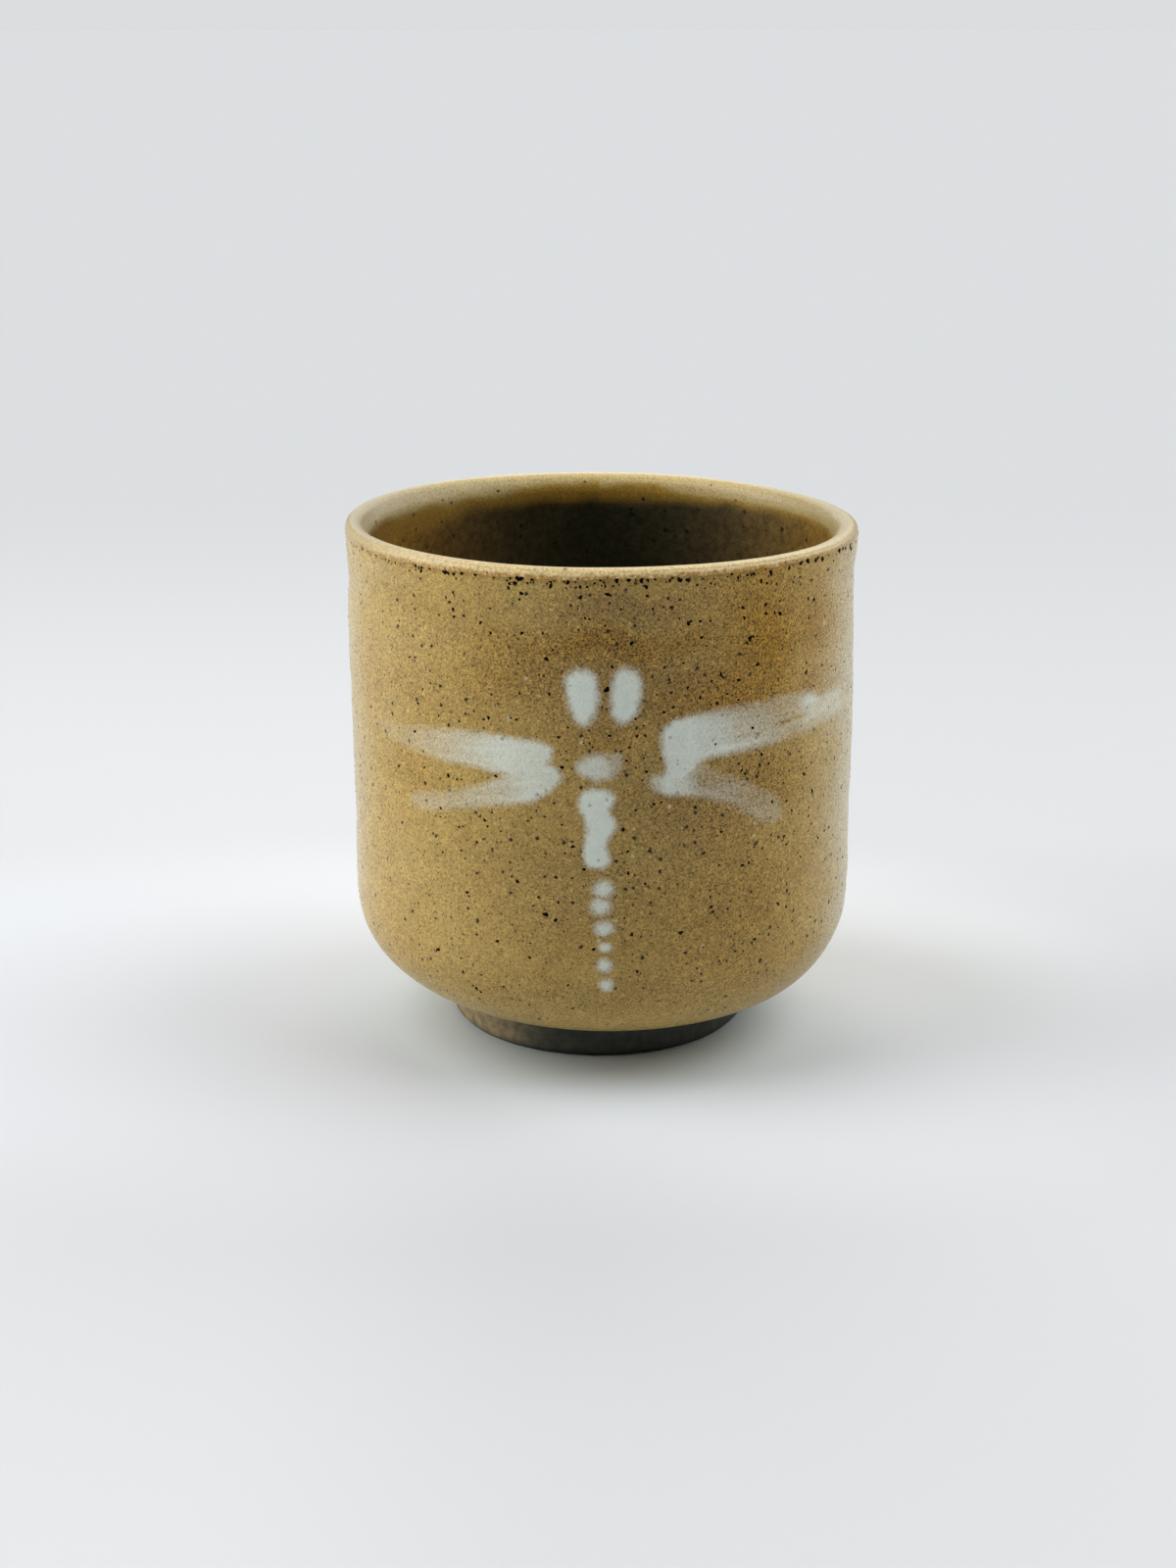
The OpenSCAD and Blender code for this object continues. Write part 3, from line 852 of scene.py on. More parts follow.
def iron_speck_piece(name):
    """Specks of iron as one piece of small flat domes in the glaze. A speck's outline is a circle
    with two waves of its own, its front a dome that sinks under the glaze at the edge, and its
    back a point under the middle. On a stroke it lies higher by the slip under it."""
    specks = iron_specks()
    count = len(specks)
    s = specks[:, 0][:, None, None]
    z = specks[:, 1][:, None, None]
    radius = specks[:, 2][:, None, None]
    cover = slip_cover(specks[:, 0], specks[:, 1])
    on_slip = (SLIP_LIFT + SLIP_BODY) * eased(cover / LIFTED_COVER)
    share = (np.arange(1, SPECK_RINGS + 1) / SPECK_RINGS)[None, :, None]
    turn = (np.arange(SPECK_SIDES) * 2 * np.pi / SPECK_SIDES)[None, None, :]
    phase = np.random.default_rng(18).random((count, 1, 1, 2)) * 2 * np.pi
    wide, narrow = SPECK_WAVES
    reach = 1 + waves(turn, ((wide, 2, phase[..., 0]), (narrow, 3, phase[..., 1])))
    away = radius * share * reach
    lift = on_slip[:, None, None] + SPECK_DOME - SPECK_SINK * share ** 3 + 0 * turn
    rings = on_wall(s + away * np.cos(turn), z + away * np.sin(turn), lift)
    front = on_wall(specks[:, 0], specks[:, 1], on_slip + SPECK_TOP)
    back = on_wall(specks[:, 0], specks[:, 1], -SPECK_BACK)
    points = np.concatenate([rings.reshape(-1, 3), front, back])
    each = SPECK_RINGS * SPECK_SIDES
    first = (np.arange(count) * each)[:, None, None]
    walls = (first + lattice(SPECK_RINGS, SPECK_SIDES)[None]).reshape(-1, 4)
    here = np.arange(SPECK_SIDES)[None, :]
    after = (here + 1) % SPECK_SIDES
    start = (np.arange(count) * each)[:, None]
    tip = count * each + np.arange(count)[:, None] + 0 * here
    fans = np.stack([tip, start + here, start + after], axis=-1).reshape(-1, 3)
    edge = start + (SPECK_RINGS - 1) * SPECK_SIDES
    backs = np.stack([tip + count, edge + after, edge + here], axis=-1).reshape(-1, 3)
    faces = walls[:, ::-1].tolist() + fans.tolist() + backs.tolist()
    return finish_mesh(name, points, faces, SPECK_SHARP)


def linear(code):
    """A colour for a shader from its sRGB hex code: each channel by the sRGB curve."""
    channels = [int(code[i:i + 2], 16) / 255 for i in (1, 3, 5)]
    curve = [c / 12.92 if c <= 0.04045 else ((c + 0.055) / 1.055) ** 2.4 for c in channels]
    return (*curve, 1.0)


# A Mix node's inputs for its two colours, and its output with their mix
MIX_A = 6
MIX_B = 7
MIX_RESULT = 2


def add(tree, kind, sockets, output=0, **settings):
    """Adds one node and gives one of its outputs. sockets give each input, by name or number, a
    value or the output of another node, and settings are the node's own properties."""
    node = tree.nodes.new("ShaderNode" + kind)
    for key, value in settings.items():
        setattr(node, key, value)
    for key, value in sockets.items():
        if isinstance(value, bpy.types.NodeSocket):
            tree.links.new(value, node.inputs[key])
        else:
            node.inputs[key].default_value = value
    return node.outputs[output] if len(node.outputs) else None


def new_material(name):
    """An empty material and its node tree."""
    material = bpy.data.materials.new(name)
    material.use_nodes = True
    material.node_tree.nodes.clear()
    return material, material.node_tree


def fields(tree, *names):
    """The numbers that the piece carries at each point, by their names."""
    return [add(tree, "Attribute", {}, "Fac", attribute_name=name) for name in names]


def sized(places, size_mm, **more):
    """The inputs of a pattern at these places whose features have one size in millimetres."""
    return {"Vector": places, "Scale": 1 / (size_mm * MM), **more}


def uneven_places(tree):
    """Object coordinates bent by a fraction of a millimetre, so that no grain or speck is round."""
    places = add(tree, "TexCoord", {}, "Object")
    bend = add(tree, "TexNoise", sized(places, 0.7, Detail=1.0), "Color")
    bend = add(tree, "VectorMath", {0: bend, 1: (0.5, 0.5, 0.5)}, operation="SUBTRACT")
    bend = add(tree, "VectorMath", {0: bend, "Scale": 0.45 * MM}, operation="SCALE")
    return add(tree, "VectorMath", {0: places, 1: bend}, operation="ADD")


def laid_over(tree, colour, layers):
    """A colour with others laid over it in turn. A layer has its strength, the share of each place
    that it covers, and its colour, as a hex code or the output of a node."""
    for strength, share, over in layers:
        if strength != 1:
            share = add(tree, "Math", {0: share, 1: strength}, operation="MULTIPLY")
        over = linear(over) if isinstance(over, str) else over
        colour = add(tree, "Mix", {0: share, MIX_A: colour, MIX_B: over}, MIX_RESULT,
                     data_type="RGBA")
    return colour


def around_one(tree, noise, strength):
    """A factor near 1 that follows noise around 0.5: 1 plus its difference times the strength."""
    difference = add(tree, "Math", {0: noise, 1: 0.5}, operation="SUBTRACT")
    return add(tree, "Math", {0: difference, 1: strength, 2: 1.0}, operation="MULTIPLY_ADD")


def tinted(tree, colour, factor):
    """A colour times a factor."""
    grey = add(tree, "CombineColor", {0: factor, 1: factor, 2: factor})
    return add(tree, "Mix", {0: 1.0, MIX_A: colour, MIX_B: grey}, MIX_RESULT, data_type="RGBA",
               blend_type="MULTIPLY")


def grained(tree, colour, noise, strength):
    """A colour made darker and lighter by noise around 0.5."""
    return tinted(tree, colour, around_one(tree, noise, strength))


def speck_mask(tree, places, spacing_mm, radius_mm, share, soft=0.5):
    """Specks of mixed sizes: one grain to a cell of the given spacing, of which only a share is
    kept. The kept ones grow with their own random number up to the radius, and have a soft edge."""
    distance = add(tree, "TexVoronoi", sized(places, spacing_mm), "Distance")
    chance = add(tree, "SeparateColor", {0: distance.node.outputs["Color"]})
    kept = add(tree, "Math", {0: chance, 1: 1 - share}, operation="SUBTRACT")
    kept = add(tree, "Math", {0: kept, 1: 0.0}, operation="MAXIMUM")
    radius = add(tree, "Math", {0: kept, 1: radius_mm / spacing_mm / share}, operation="MULTIPLY")
    inside = add(tree, "Math", {0: radius, 1: distance}, operation="SUBTRACT")
    return add(tree, "Math", {0: inside, 1: spacing_mm / (radius_mm * soft)}, operation="MULTIPLY",
               use_clamp=True)


def broken_crease(tree, crease, noise, strength):
    """The crease under the rim as a mask, broken into stretches by noise around 0.5."""
    factor = around_one(tree, noise, strength)
    return add(tree, "Math", {0: crease, 1: factor}, operation="MULTIPLY", use_clamp=True)


def stoneware_output(tree, colour, roughness, relief, relief_mm, gloss=0.5):
    """The glossy surface of a glaze or the dull one of clay: colour, roughness and a fine relief
    whose full height is given in millimetres. gloss is the share of its mirror light, where a half
    is what its IOR alone gives."""
    bump = add(tree, "Bump", {"Height": relief, "Distance": relief_mm * MM}, "Normal")
    shader = add(tree, "BsdfPrincipled", {
        "Base Color": colour,
        "Roughness": roughness,
        "IOR": 1.5,
        "Specular IOR Level": gloss,
        "Normal": bump,
    })
    add(tree, "OutputMaterial", {"Surface": shader})


def ochre_surface(tree, places):
    """Colour, grain and iron specks of the ochre glaze over the sandy, iron-bearing clay. Over its
    soft patches lie warm mottles, two sizes of grain that are sharper in the golden and the
    grey-brown patches, then pale sand, brown and black specks, and the brown line of the crease.
    The pale patches are painted sheen, and the grey-brown ones on the front are partly
    painted shade."""
    golden, painted_sheen, ashen_and_shade, crease = fields(tree, "golden", "painted_sheen", "ashen_and_shade", "crease")
    colour = laid_over(tree, linear("#ad8c48"), [
        (1, add(tree, "TexNoise", sized(places, 9.0)), "#c0a560"),
        (1, golden, "#9a7112"),
        # The pale patches are painted sheen near the wall's left and right edges
        (1, painted_sheen, "#cbcab4"),
        # The grey-brown colour is the glaze's own, and on the front also painted shade
        (1, ashen_and_shade, "#7b6037"),
    ])
    colour = grained(tree, colour, add(tree, "TexNoise", sized(places, 2.2)), 0.4)
    warm = add(tree, "TexNoise", sized(places, 0.7, Detail=1.0))
    warm = add(tree, "Math", {0: warm, 1: 0.45}, operation="SUBTRACT")
    warm = add(tree, "Math", {0: warm, 1: 2.5}, operation="MULTIPLY", use_clamp=True)
    colour = laid_over(tree, colour, [(0.25, warm, "#94683a")])

    sharp = add(tree, "Math", {0: golden, 1: 0.75, 2: ashen_and_shade}, operation="MULTIPLY_ADD")
    sharp = add(tree, "Math", {0: sharp, 1: 0.55}, operation="ADD")
    coarse = add(tree, "TexNoise", sized(places, 0.65))
    coarse_strength = add(tree, "Math", {0: sharp, 1: 0.9}, operation="MULTIPLY")
    colour = grained(tree, colour, coarse, coarse_strength)
    grain = add(tree, "TexNoise", sized(places, 0.3))
    fine_strength = add(tree, "Math", {0: sharp, 1: 2.9}, operation="MULTIPLY")
    fine = around_one(tree, grain, fine_strength)
    fine = add(tree, "Math", {0: fine, 1: 0.2}, operation="MAXIMUM")
    colour = tinted(tree, colour, fine)

    iron = speck_mask(tree, places, 1.3, 0.4, 0.7, 0.35)
    broken = broken_crease(tree, crease, add(tree, "TexNoise", sized(places, 0.8)), 6.0)
    colour = laid_over(tree, colour, [
        (0.5, speck_mask(tree, places, 0.55, 0.24, 0.7), "#c4a768"),
        (0.7, speck_mask(tree, places, 2.6, 0.5, 0.3), "#d8c9a0"),
        (0.7, speck_mask(tree, places, 0.66, 0.27, 0.75), "#3a260b"),
        (0.95, iron, "#150d06"),
        (0.4, broken, "#7d5a1c"),
    ])
    return colour, grain, iron


def slip_over(tree, places, colour, grain, iron):
    """White slip brushed over the glaze. It is sandy where it is thin and cool white where it is
    thick, the grain frays it in between, and the iron specks come through."""
    cover, = fields(tree, "slip")
    bare = add(tree, "Math", {0: 1.0, 1: cover}, operation="SUBTRACT")
    between = add(tree, "Math", {0: cover, 1: bare}, operation="MULTIPLY")
    between = add(tree, "Math", {0: between, 1: 2.6}, operation="MULTIPLY")
    ragged = add(tree, "Math", {0: grain, 1: 0.5}, operation="SUBTRACT")
    shown = add(tree, "Math", {0: ragged, 1: between, 2: cover}, operation="MULTIPLY_ADD",
                use_clamp=True)
    white = laid_over(tree, linear("#cdc6ae"), [(1, cover, "#e3ebe0")])
    white = grained(tree, white, add(tree, "TexNoise", sized(places, 1.6)), 0.12)
    white = grained(tree, white, grain, 0.3)
    veil = add(tree, "Math", {0: iron, 1: -0.35, 2: 0.97}, operation="MULTIPLY_ADD")
    veil = add(tree, "Math", {0: shown, 1: veil}, operation="MULTIPLY")
    return laid_over(tree, colour, [(1, veil, white)])


def ochre_glaze_material(name, with_slip):
    """Ochre ash glaze, fired to a satin gloss over speckled clay. The eye gets a sandy tan with
    golden bands, brown and black iron specks and pale grains. On the slip pieces the same glaze
    carries the brushed white slip, so that a stroke fades into it without an edge."""
    material, tree = new_material(name)
    places = uneven_places(tree)
    colour, grain, iron = ochre_surface(tree, places)
    if with_slip:
        colour = slip_over(tree, places, colour, grain, iron)
    roughness = add(tree, "Math", {0: grain, 1: 0.2, 2: 0.2}, operation="MULTIPLY_ADD")
    soft = add(tree, "TexNoise", sized(places, 0.9))
    relief = add(tree, "Math", {0: soft, 1: grain}, operation="ADD")
    relief = add(tree, "Math", {0: relief, 1: 0.5}, operation="MULTIPLY")
    stoneware_output(tree, colour, roughness, relief, 0.1, gloss=0.2)
    return material


def rim_colour(tree, places, grain):
    """The glaze where it is thin enough for the pale sandy clay to show through, with painted shade
    that dulls it on the sides and painted light that makes it paler behind."""
    side_shading, painted_light_back = fields(tree, "side_shading", "painted_light_back")
    colour = laid_over(tree, linear("#af985f"), [
        (1, add(tree, "TexNoise", sized(places, 5.0)), "#bda973"),
        (1.3, side_shading, "#988961"),
        # Painted light: paler on the rim behind
        (0.85, painted_light_back, "#e1c98c"),
    ])
    return grained(tree, colour, grain, 1.0)


def inner_colour(tree, places, grain):
    """The glaze from the crest of the rim down inside: pale, then golden, then pooled dark. On the
    sides painted shade makes the golden browner and painted light makes the dark browner, and there
    wisps of the dark reach up into it."""
    side_shading, pooled, below_rim = fields(tree, "side_shading", "pooled", "below_rim")
    dark = laid_over(tree, linear("#44402b"), [
        (1, add(tree, "TexNoise", sized(places, 6.0)), "#2e362f"),
        (1, side_shading, "#8a6524"),
    ])
    dark = grained(tree, dark, add(tree, "TexNoise", sized(places, 1.3)), 1.4)
    wisps = add(tree, "TexNoise", sized(places, 1.6))
    wisps = add(tree, "Math", {0: wisps, 1: 0.5}, operation="SUBTRACT")
    wisps = add(tree, "Math", {0: wisps, 1: 0.7}, operation="MULTIPLY")
    darkened = add(tree, "Math", {0: wisps, 1: side_shading, 2: pooled}, operation="MULTIPLY_ADD",
                   use_clamp=True)
    inside = laid_over(tree, linear("#bd9843"), [(1, side_shading, "#745726"), (1, darkened, dark)])
    inside = grained(tree, inside, grain, 1.2)
    return laid_over(tree, rim_colour(tree, places, grain), [(1, below_rim, inside)])


def rim_glaze_material(name):
    """The same glaze where it ran thin over the rim: paler and smoother, sandy in front and painted
    lighter there, with iron specks that gather along the crease under the edge."""
    material, tree = new_material(name)
    places = uneven_places(tree)
    grain = add(tree, "TexNoise", sized(places, 0.36))
    sandy, crease = fields(tree, "sandy", "crease")
    # The sandy colour in front is the glaze's own and also painted light
    colour = laid_over(tree, inner_colour(tree, places, grain), [(0.95, sandy, "#e8cf96")])
    colour = laid_over(tree, colour, [(1, sandy, grained(tree, colour, grain, 1.5))])
    sand = speck_mask(tree, places, 0.5, 0.24, 0.7)
    sand = add(tree, "Math", {0: sand, 1: sandy}, operation="MULTIPLY")
    broken = broken_crease(tree, crease, add(tree, "TexNoise", sized(places, 0.5)), 8.0)
    brown = speck_mask(tree, places, 0.62, 0.3, 0.8)
    gathered = add(tree, "Math", {0: crease, 1: 0.25}, operation="ADD", use_clamp=True)
    brown = add(tree, "Math", {0: brown, 1: gathered}, operation="MULTIPLY")
    colour = laid_over(tree, colour, [
        (0.5, sand, "#f3dca4"),
        (0.85, broken, "#b07c1e"),
        (1, brown, "#4a310f"),
        (0.8, speck_mask(tree, places, 2.4, 0.5, 0.5), "#4b3a1c"),
    ])
    roughness = add(tree, "Math", {0: grain, 1: 0.2, 2: 0.24}, operation="MULTIPLY_ADD")
    stoneware_output(tree, colour, roughness, grain, 0.05, gloss=0.3)
    return material


def liner_glaze_material(name):
    """The glaze inside: at the rim like the rim's own, then a golden brown band, and below it
    pooled to a dark olive with specks, smooth enough to hold a soft shine."""
    material, tree = new_material(name)
    places = uneven_places(tree)
    grain = add(tree, "TexNoise", sized(places, 0.36))
    iron = speck_mask(tree, places, 1.9, 0.6, 0.6)
    colour = laid_over(tree, inner_colour(tree, places, grain), [(0.85, iron, "#120d07")])
    roughness = add(tree, "Math", {0: grain, 1: 0.2, 2: 0.24}, operation="MULTIPLY_ADD")
    stoneware_output(tree, colour, roughness, grain, 0.05, gloss=0.14)
    return material


def scorched_and_edge_shaded(tree, places, colour, scorch_code):
    """Clay blackened by the kiln and flecked, with painted contact shade that darkens it most along
    its lower edge, up to 1.7 mm.
    """
    scorch, = fields(tree, "scorch")
    colour = laid_over(tree, colour, [(1, scorch, scorch_code)])
    flecks = add(tree, "TexNoise", sized(places, 1.5, Detail=3.0))
    colour = grained(tree, colour, flecks, 1.8)
    # Painted contact shade: darker towards the lower edge, where the foot meets the floor
    height = add(tree, "SeparateXYZ", {0: places}, "Z")
    above_edge = add(tree, "MapRange", {0: height, 1: 0.4 * MM, 2: 1.7 * MM, 3: 0.35, 4: 1.0},
                     interpolation_type="SMOOTHSTEP")
    return tinted(tree, colour, above_edge)


def bare_clay_material(name, code, scorch_code=None):
    """Unglazed stoneware, fired to a dry brown grey: fine turning lines round the axis, sandy
    grain and small specks, with a dull face. Where the kiln blackened it, it is greenish black, and
    painted contact shade darkens its lower edge."""
    material, tree = new_material(name)
    places = uneven_places(tree)
    grain = add(tree, "TexNoise", sized(places, 0.4, Detail=3.0))
    drawn_out = add(tree, "VectorMath", {0: places, 1: (0.12, 0.12, 2.0)}, operation="MULTIPLY")
    lines = add(tree, "TexNoise", sized(drawn_out, 0.7))
    colour = linear(code)
    if scorch_code:
        colour = scorched_and_edge_shaded(tree, places, colour, scorch_code)
    colour = grained(tree, colour, lines, 0.45)
    colour = grained(tree, colour, grain, 0.5)
    colour = laid_over(tree, colour, [(0.7, speck_mask(tree, places, 1.7, 0.3, 0.3), "#2c2118")])
    relief = add(tree, "Math", {0: lines, 1: 0.6}, operation="MULTIPLY")
    relief = add(tree, "Math", {0: grain, 1: 0.4, 2: relief}, operation="MULTIPLY_ADD")
    roughness = add(tree, "Math", {0: grain, 1: 0.2, 2: 0.62}, operation="MULTIPLY_ADD")
    stoneware_output(tree, colour, roughness, relief, 0.09)
    return material


def iron_speck_material(name):
    """Iron that melted out of the clay: brown black and drier than the glaze around it."""
    material, tree = new_material(name)
    grain = add(tree, "TexNoise", sized(uneven_places(tree), 0.3))
    colour = laid_over(tree, linear("#050302"), [(1, grain, "#120b05")])
    stoneware_output(tree, colour, 0.7, grain, 0.03, gloss=0.03)
    return material


def dress(piece, material, slot, *nodes):
    """Gives a piece its material and its body, and hides the CAD nodes that it stands for. slot is
    not used.
    """
    piece.data.materials.append(material)
    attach(piece, "root")
    if nodes:
        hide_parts(*nodes)
    return piece


def clay_side(r, z):
    """The clay side of a coat of glaze: its path moved in by the coat's thickness, with every
    third point kept, and read from the path's end to its start."""
    back_r, back_z = moved_in(r, z, glaze_t)
    keep = np.arange(0, len(r), COAT_BACK_STEP)
    keep = np.append(keep[keep < len(r) - 1], len(r) - 1)[::-1]
    return back_r[keep], back_z[keep]


def closed_coat(r, z):
    """The closed outline of one coat of glaze: the path on its surface, and back along the clay
    side, counterclockwise."""
    back_r, back_z = clay_side(r, z)
    return np.concatenate([r, back_r]), np.concatenate([z, back_z])


def rim_groove(phi, z):
    """A shallow groove in the outer edge of the rim, deepest to the left and right of the front."""
    from_front = np.abs((phi + np.pi) % (2 * np.pi) - np.pi)
    beside = ((1 - GROOVE_ALL_ROUND, GROOVE_ANGLE, GROOVE_WIDE),)
    share = GROOVE_ALL_ROUND + bells(from_front, beside)
    return -share * bells(z, ((GROOVE_DEEP, GROOVE_Z, GROOVE_TALL),))


# The glaze inside, by its depth under the crest of the rim, which noise makes uneven. It turns from
# the rim's colour to golden over one stretch, sooner behind, and pools dark over another. That one
# starts lower and is longer on the left, as painted light on the left inner wall, and starts
# higher on the right, as painted shade there.
INNER_EDGE = ((1.4, 1 / 8, 3, 40, 0, 31),)
GOLDEN_FROM = 2.3
GOLDEN_TALL = 1.4
SOONER_BEHIND = 1.35
BEHIND = ((1, np.pi, 0.42),)
POOLED_FROM = 2.7
POOLED_TALL = 2.5
LATER_LEFT = 0.8
LATER_RIGHT = -0.6
LONGER_LEFT = 5
# The rim's crest parts the outside from the inside: how far outside it the inside begins, and over
# what width
INSIDE_FROM = 0.3
INSIDE_WIDE = 0.8
# Painted light and shade on the sides, inside and on the rim: how closely it keeps to the sides,
# and its share on the right
SIDES_POWER = 2.4
SHADING_RIGHT = 0.7
# Painted light on the rim behind, which makes it paler there: strength, angle and half width
PAINTED_LIGHT_BACK = ((1, 3.25 - np.pi, 0.85),)
# The rim's sandy outside: how far outside the crest it begins, over what width, and its share all
# round, with the rest as a bell of this half width in front, where it is also painted light
SANDY_FROM = 0.2
SANDY_WIDE = 0.7
SANDY_ALL_ROUND = 0.1
SANDY_LIT_FRONT = ((0.9, 0, 1),)
# The foot ring's unscorched places, as bells: a wide one on the left, where the paler clay is
# also painted light from the window, and a fainter one behind
LIT_FOOT_LEFT = ((1, -1.15, 0.62),)
PALE_FOOT_BACK = ((0.7, 2.6, 0.4),)
# Room between the clay and the coats of glaze on it
CLAY_ROOM = 0.02


def write_inner_fields(piece):
    """Gives the rim and the liner the fields of the inner edge. The glaze turns golden a little way
    under the crest, soonest behind, and pools dark below, deepest down on the left. That, and the
    field of the sides, are painted light and shade, and the rim behind gets painted light."""
    points = points_of(piece)
    round_cup = angle_round(points)
    on_left = round_cup < 0
    # Painted light and shade on the sides
    at_sides = np.abs(np.sin(round_cup)) ** SIDES_POWER * np.where(on_left, 1.0, SHADING_RIGHT)
    depth = rim_z - points[:, 2] + unevenness(round_cup, points[:, 2], INNER_EDGE)
    inside = eased((rim_crest_r + INSIDE_FROM - from_axis(points)) / INSIDE_WIDE)
    sooner = SOONER_BEHIND * bells(np.abs(round_cup), BEHIND, 4)
    golden = eased((depth - GOLDEN_FROM + sooner) / GOLDEN_TALL)
    write_attribute(piece, "below_rim", inside * golden)
    later = at_sides * np.where(on_left, LATER_LEFT, LATER_RIGHT)
    pooled_tall = POOLED_TALL + LONGER_LEFT * np.maximum(later, 0)
    write_attribute(piece, "pooled", eased((depth - POOLED_FROM - later) / pooled_tall))
    from_back = round_cup % (2 * np.pi) - np.pi
    # Painted light on the rim behind
    write_attribute(piece, "painted_light_back", bells(from_back, PAINTED_LIGHT_BACK))
    write_attribute(piece, "side_shading", at_sides)


def write_outer_rim_fields(piece):
    """Gives the rim the fields of its outside: sandy, most in front, where it is also painted light,
    and the crease below.
    """
    points = points_of(piece)
    round_cup = angle_round(points)
    outside = eased((from_axis(points) - rim_crest_r - SANDY_FROM) / SANDY_WIDE)
    sandy = SANDY_ALL_ROUND + bells(round_cup, SANDY_LIT_FRONT)
    write_attribute(piece, "sandy", outside * sandy)
    near = eased(1 - above_crease(points) / CREASE_REACH_UP)
    write_attribute(piece, "crease", outside * near * crease_share(round_cup))


def throwing_spiral(r, phi, z):
    """A low spiral on the floor of the well, where the wheel's last turns show."""
    on_floor = eased((floor_z + SPIRAL_TALL - z) / SPIRAL_TALL)
    on_floor = on_floor * eased(r / SPIRAL_FADE_IN) * eased((SPIRAL_R - r) / SPIRAL_FADE_OUT)
    return SPIRAL * np.sin(2 * np.pi * r / SPIRAL_PITCH - phi) * on_floor


def build_cup():
    """The thrown pieces: clay body, foot ring and the three coats of glaze."""
    glaze_r, glaze_z = glaze_path()
    over_r, over_z = np.concatenate([rim_path(), well_path()], axis=1)
    split = int(np.argmax((over_r < rim_crest_r) & (over_z < lip_z)))

    outer = turned_ring("outer_glaze_coat", *closed_coat(glaze_r, glaze_z), shape=thrown)
    write_glaze_fields(outer)
    dress(outer, ochre_glaze_material("ochre_ash_glaze", False), "ochre_glaze", "outer_glaze")

    lip = turned_ring("rim_glaze_coat", *closed_coat(over_r[:split + 1], over_z[:split + 1]),
                      shape=rim_groove)
    write_outer_rim_fields(lip)
    write_inner_fields(lip)
    dress(lip, rim_glaze_material("thin_rim_glaze"), "rim_glaze", "lip_glaze")

    liner_r, liner_z = over_r[split:], over_z[split:]
    back_r, back_z = clay_side(liner_r, liner_z)
    back_r[0] = 0
    outline_r = np.concatenate([back_r, liner_r])
    outline_z = np.concatenate([back_z, liner_z])
    liner = turned_bowl("liner_glaze_coat", outline_r, outline_z, throwing_spiral)
    write_inner_fields(liner)
    dress(liner, liner_glaze_material("pooled_liner_glaze"), "liner_glaze", "liner_glaze")

    skin_r = np.concatenate([glaze_r, over_r[1:]])[::BODY_STEP]
    skin_z = np.concatenate([glaze_z, over_z[1:]])[::BODY_STEP]
    clay_r, clay_z = moved_in(skin_r, skin_z, glaze_t + CLAY_ROOM)
    clay_r = np.concatenate([[0, foot_inner_r], clay_r, [0]])
    clay_z = np.concatenate([[clay_under_z, clay_under_z], clay_z, [floor_z - glaze_t]])
    body = turned_bowl("clay_body", clay_r, clay_z)
    dress(body, bare_clay_material("bare_stoneware", "#8a7355"), "bare_clay", "cup_body")

    share = np.linspace(0, 1, FOOT_POINTS)
    face_z = FOOT_CHAMFER + (under_z - FOOT_CHAMFER) * share
    face_r = foot_r + (foot_top_r - foot_r) * share - FOOT_WAIST * np.sin(np.pi * share)
    foot_path_r = np.concatenate([[foot_inner_r + FOOT_CHAMFER, foot_r - FOOT_CHAMFER], face_r,
                                  [foot_top_r, foot_inner_r, foot_inner_r]])
    foot_path_z = np.concatenate([[0, 0], face_z, [clay_under_z, clay_under_z, FOOT_CHAMFER]])
    foot = turned_ring("turned_foot_ring", foot_path_r, foot_path_z)
    round_foot = angle_round(points_of(foot))
    # Paler on the left, partly as painted light
    pale = bells(round_foot, LIT_FOOT_LEFT, 4) + bells(round_foot, PALE_FOOT_BACK)
    write_attribute(foot, "scorch", 1 - np.clip(pale, 0, 1))
    clay = bare_clay_material("turned_foot_clay", "#8c7a55", "#383c33")
    dress(foot, clay, "foot_clay", "foot_ring")


def build_dragonfly():
    """The nine brush strokes of white slip."""
    material = ochre_glaze_material("white_slip_in_glaze", True)
    for node, regions in SLIP_REGIONS.items():
        dress(slip_piece(node + "_stroke", regions), material, "white_slip", node)


# Radii of the floor's rings in metres, and the sides of each
FLOOR_RINGS = (0.001, 0.05, 0.1, 0.2, 0.4, 0.8, 1.6, 3.2, 6.4, 12.8, 25.6)
FLOOR_SIDES = 96


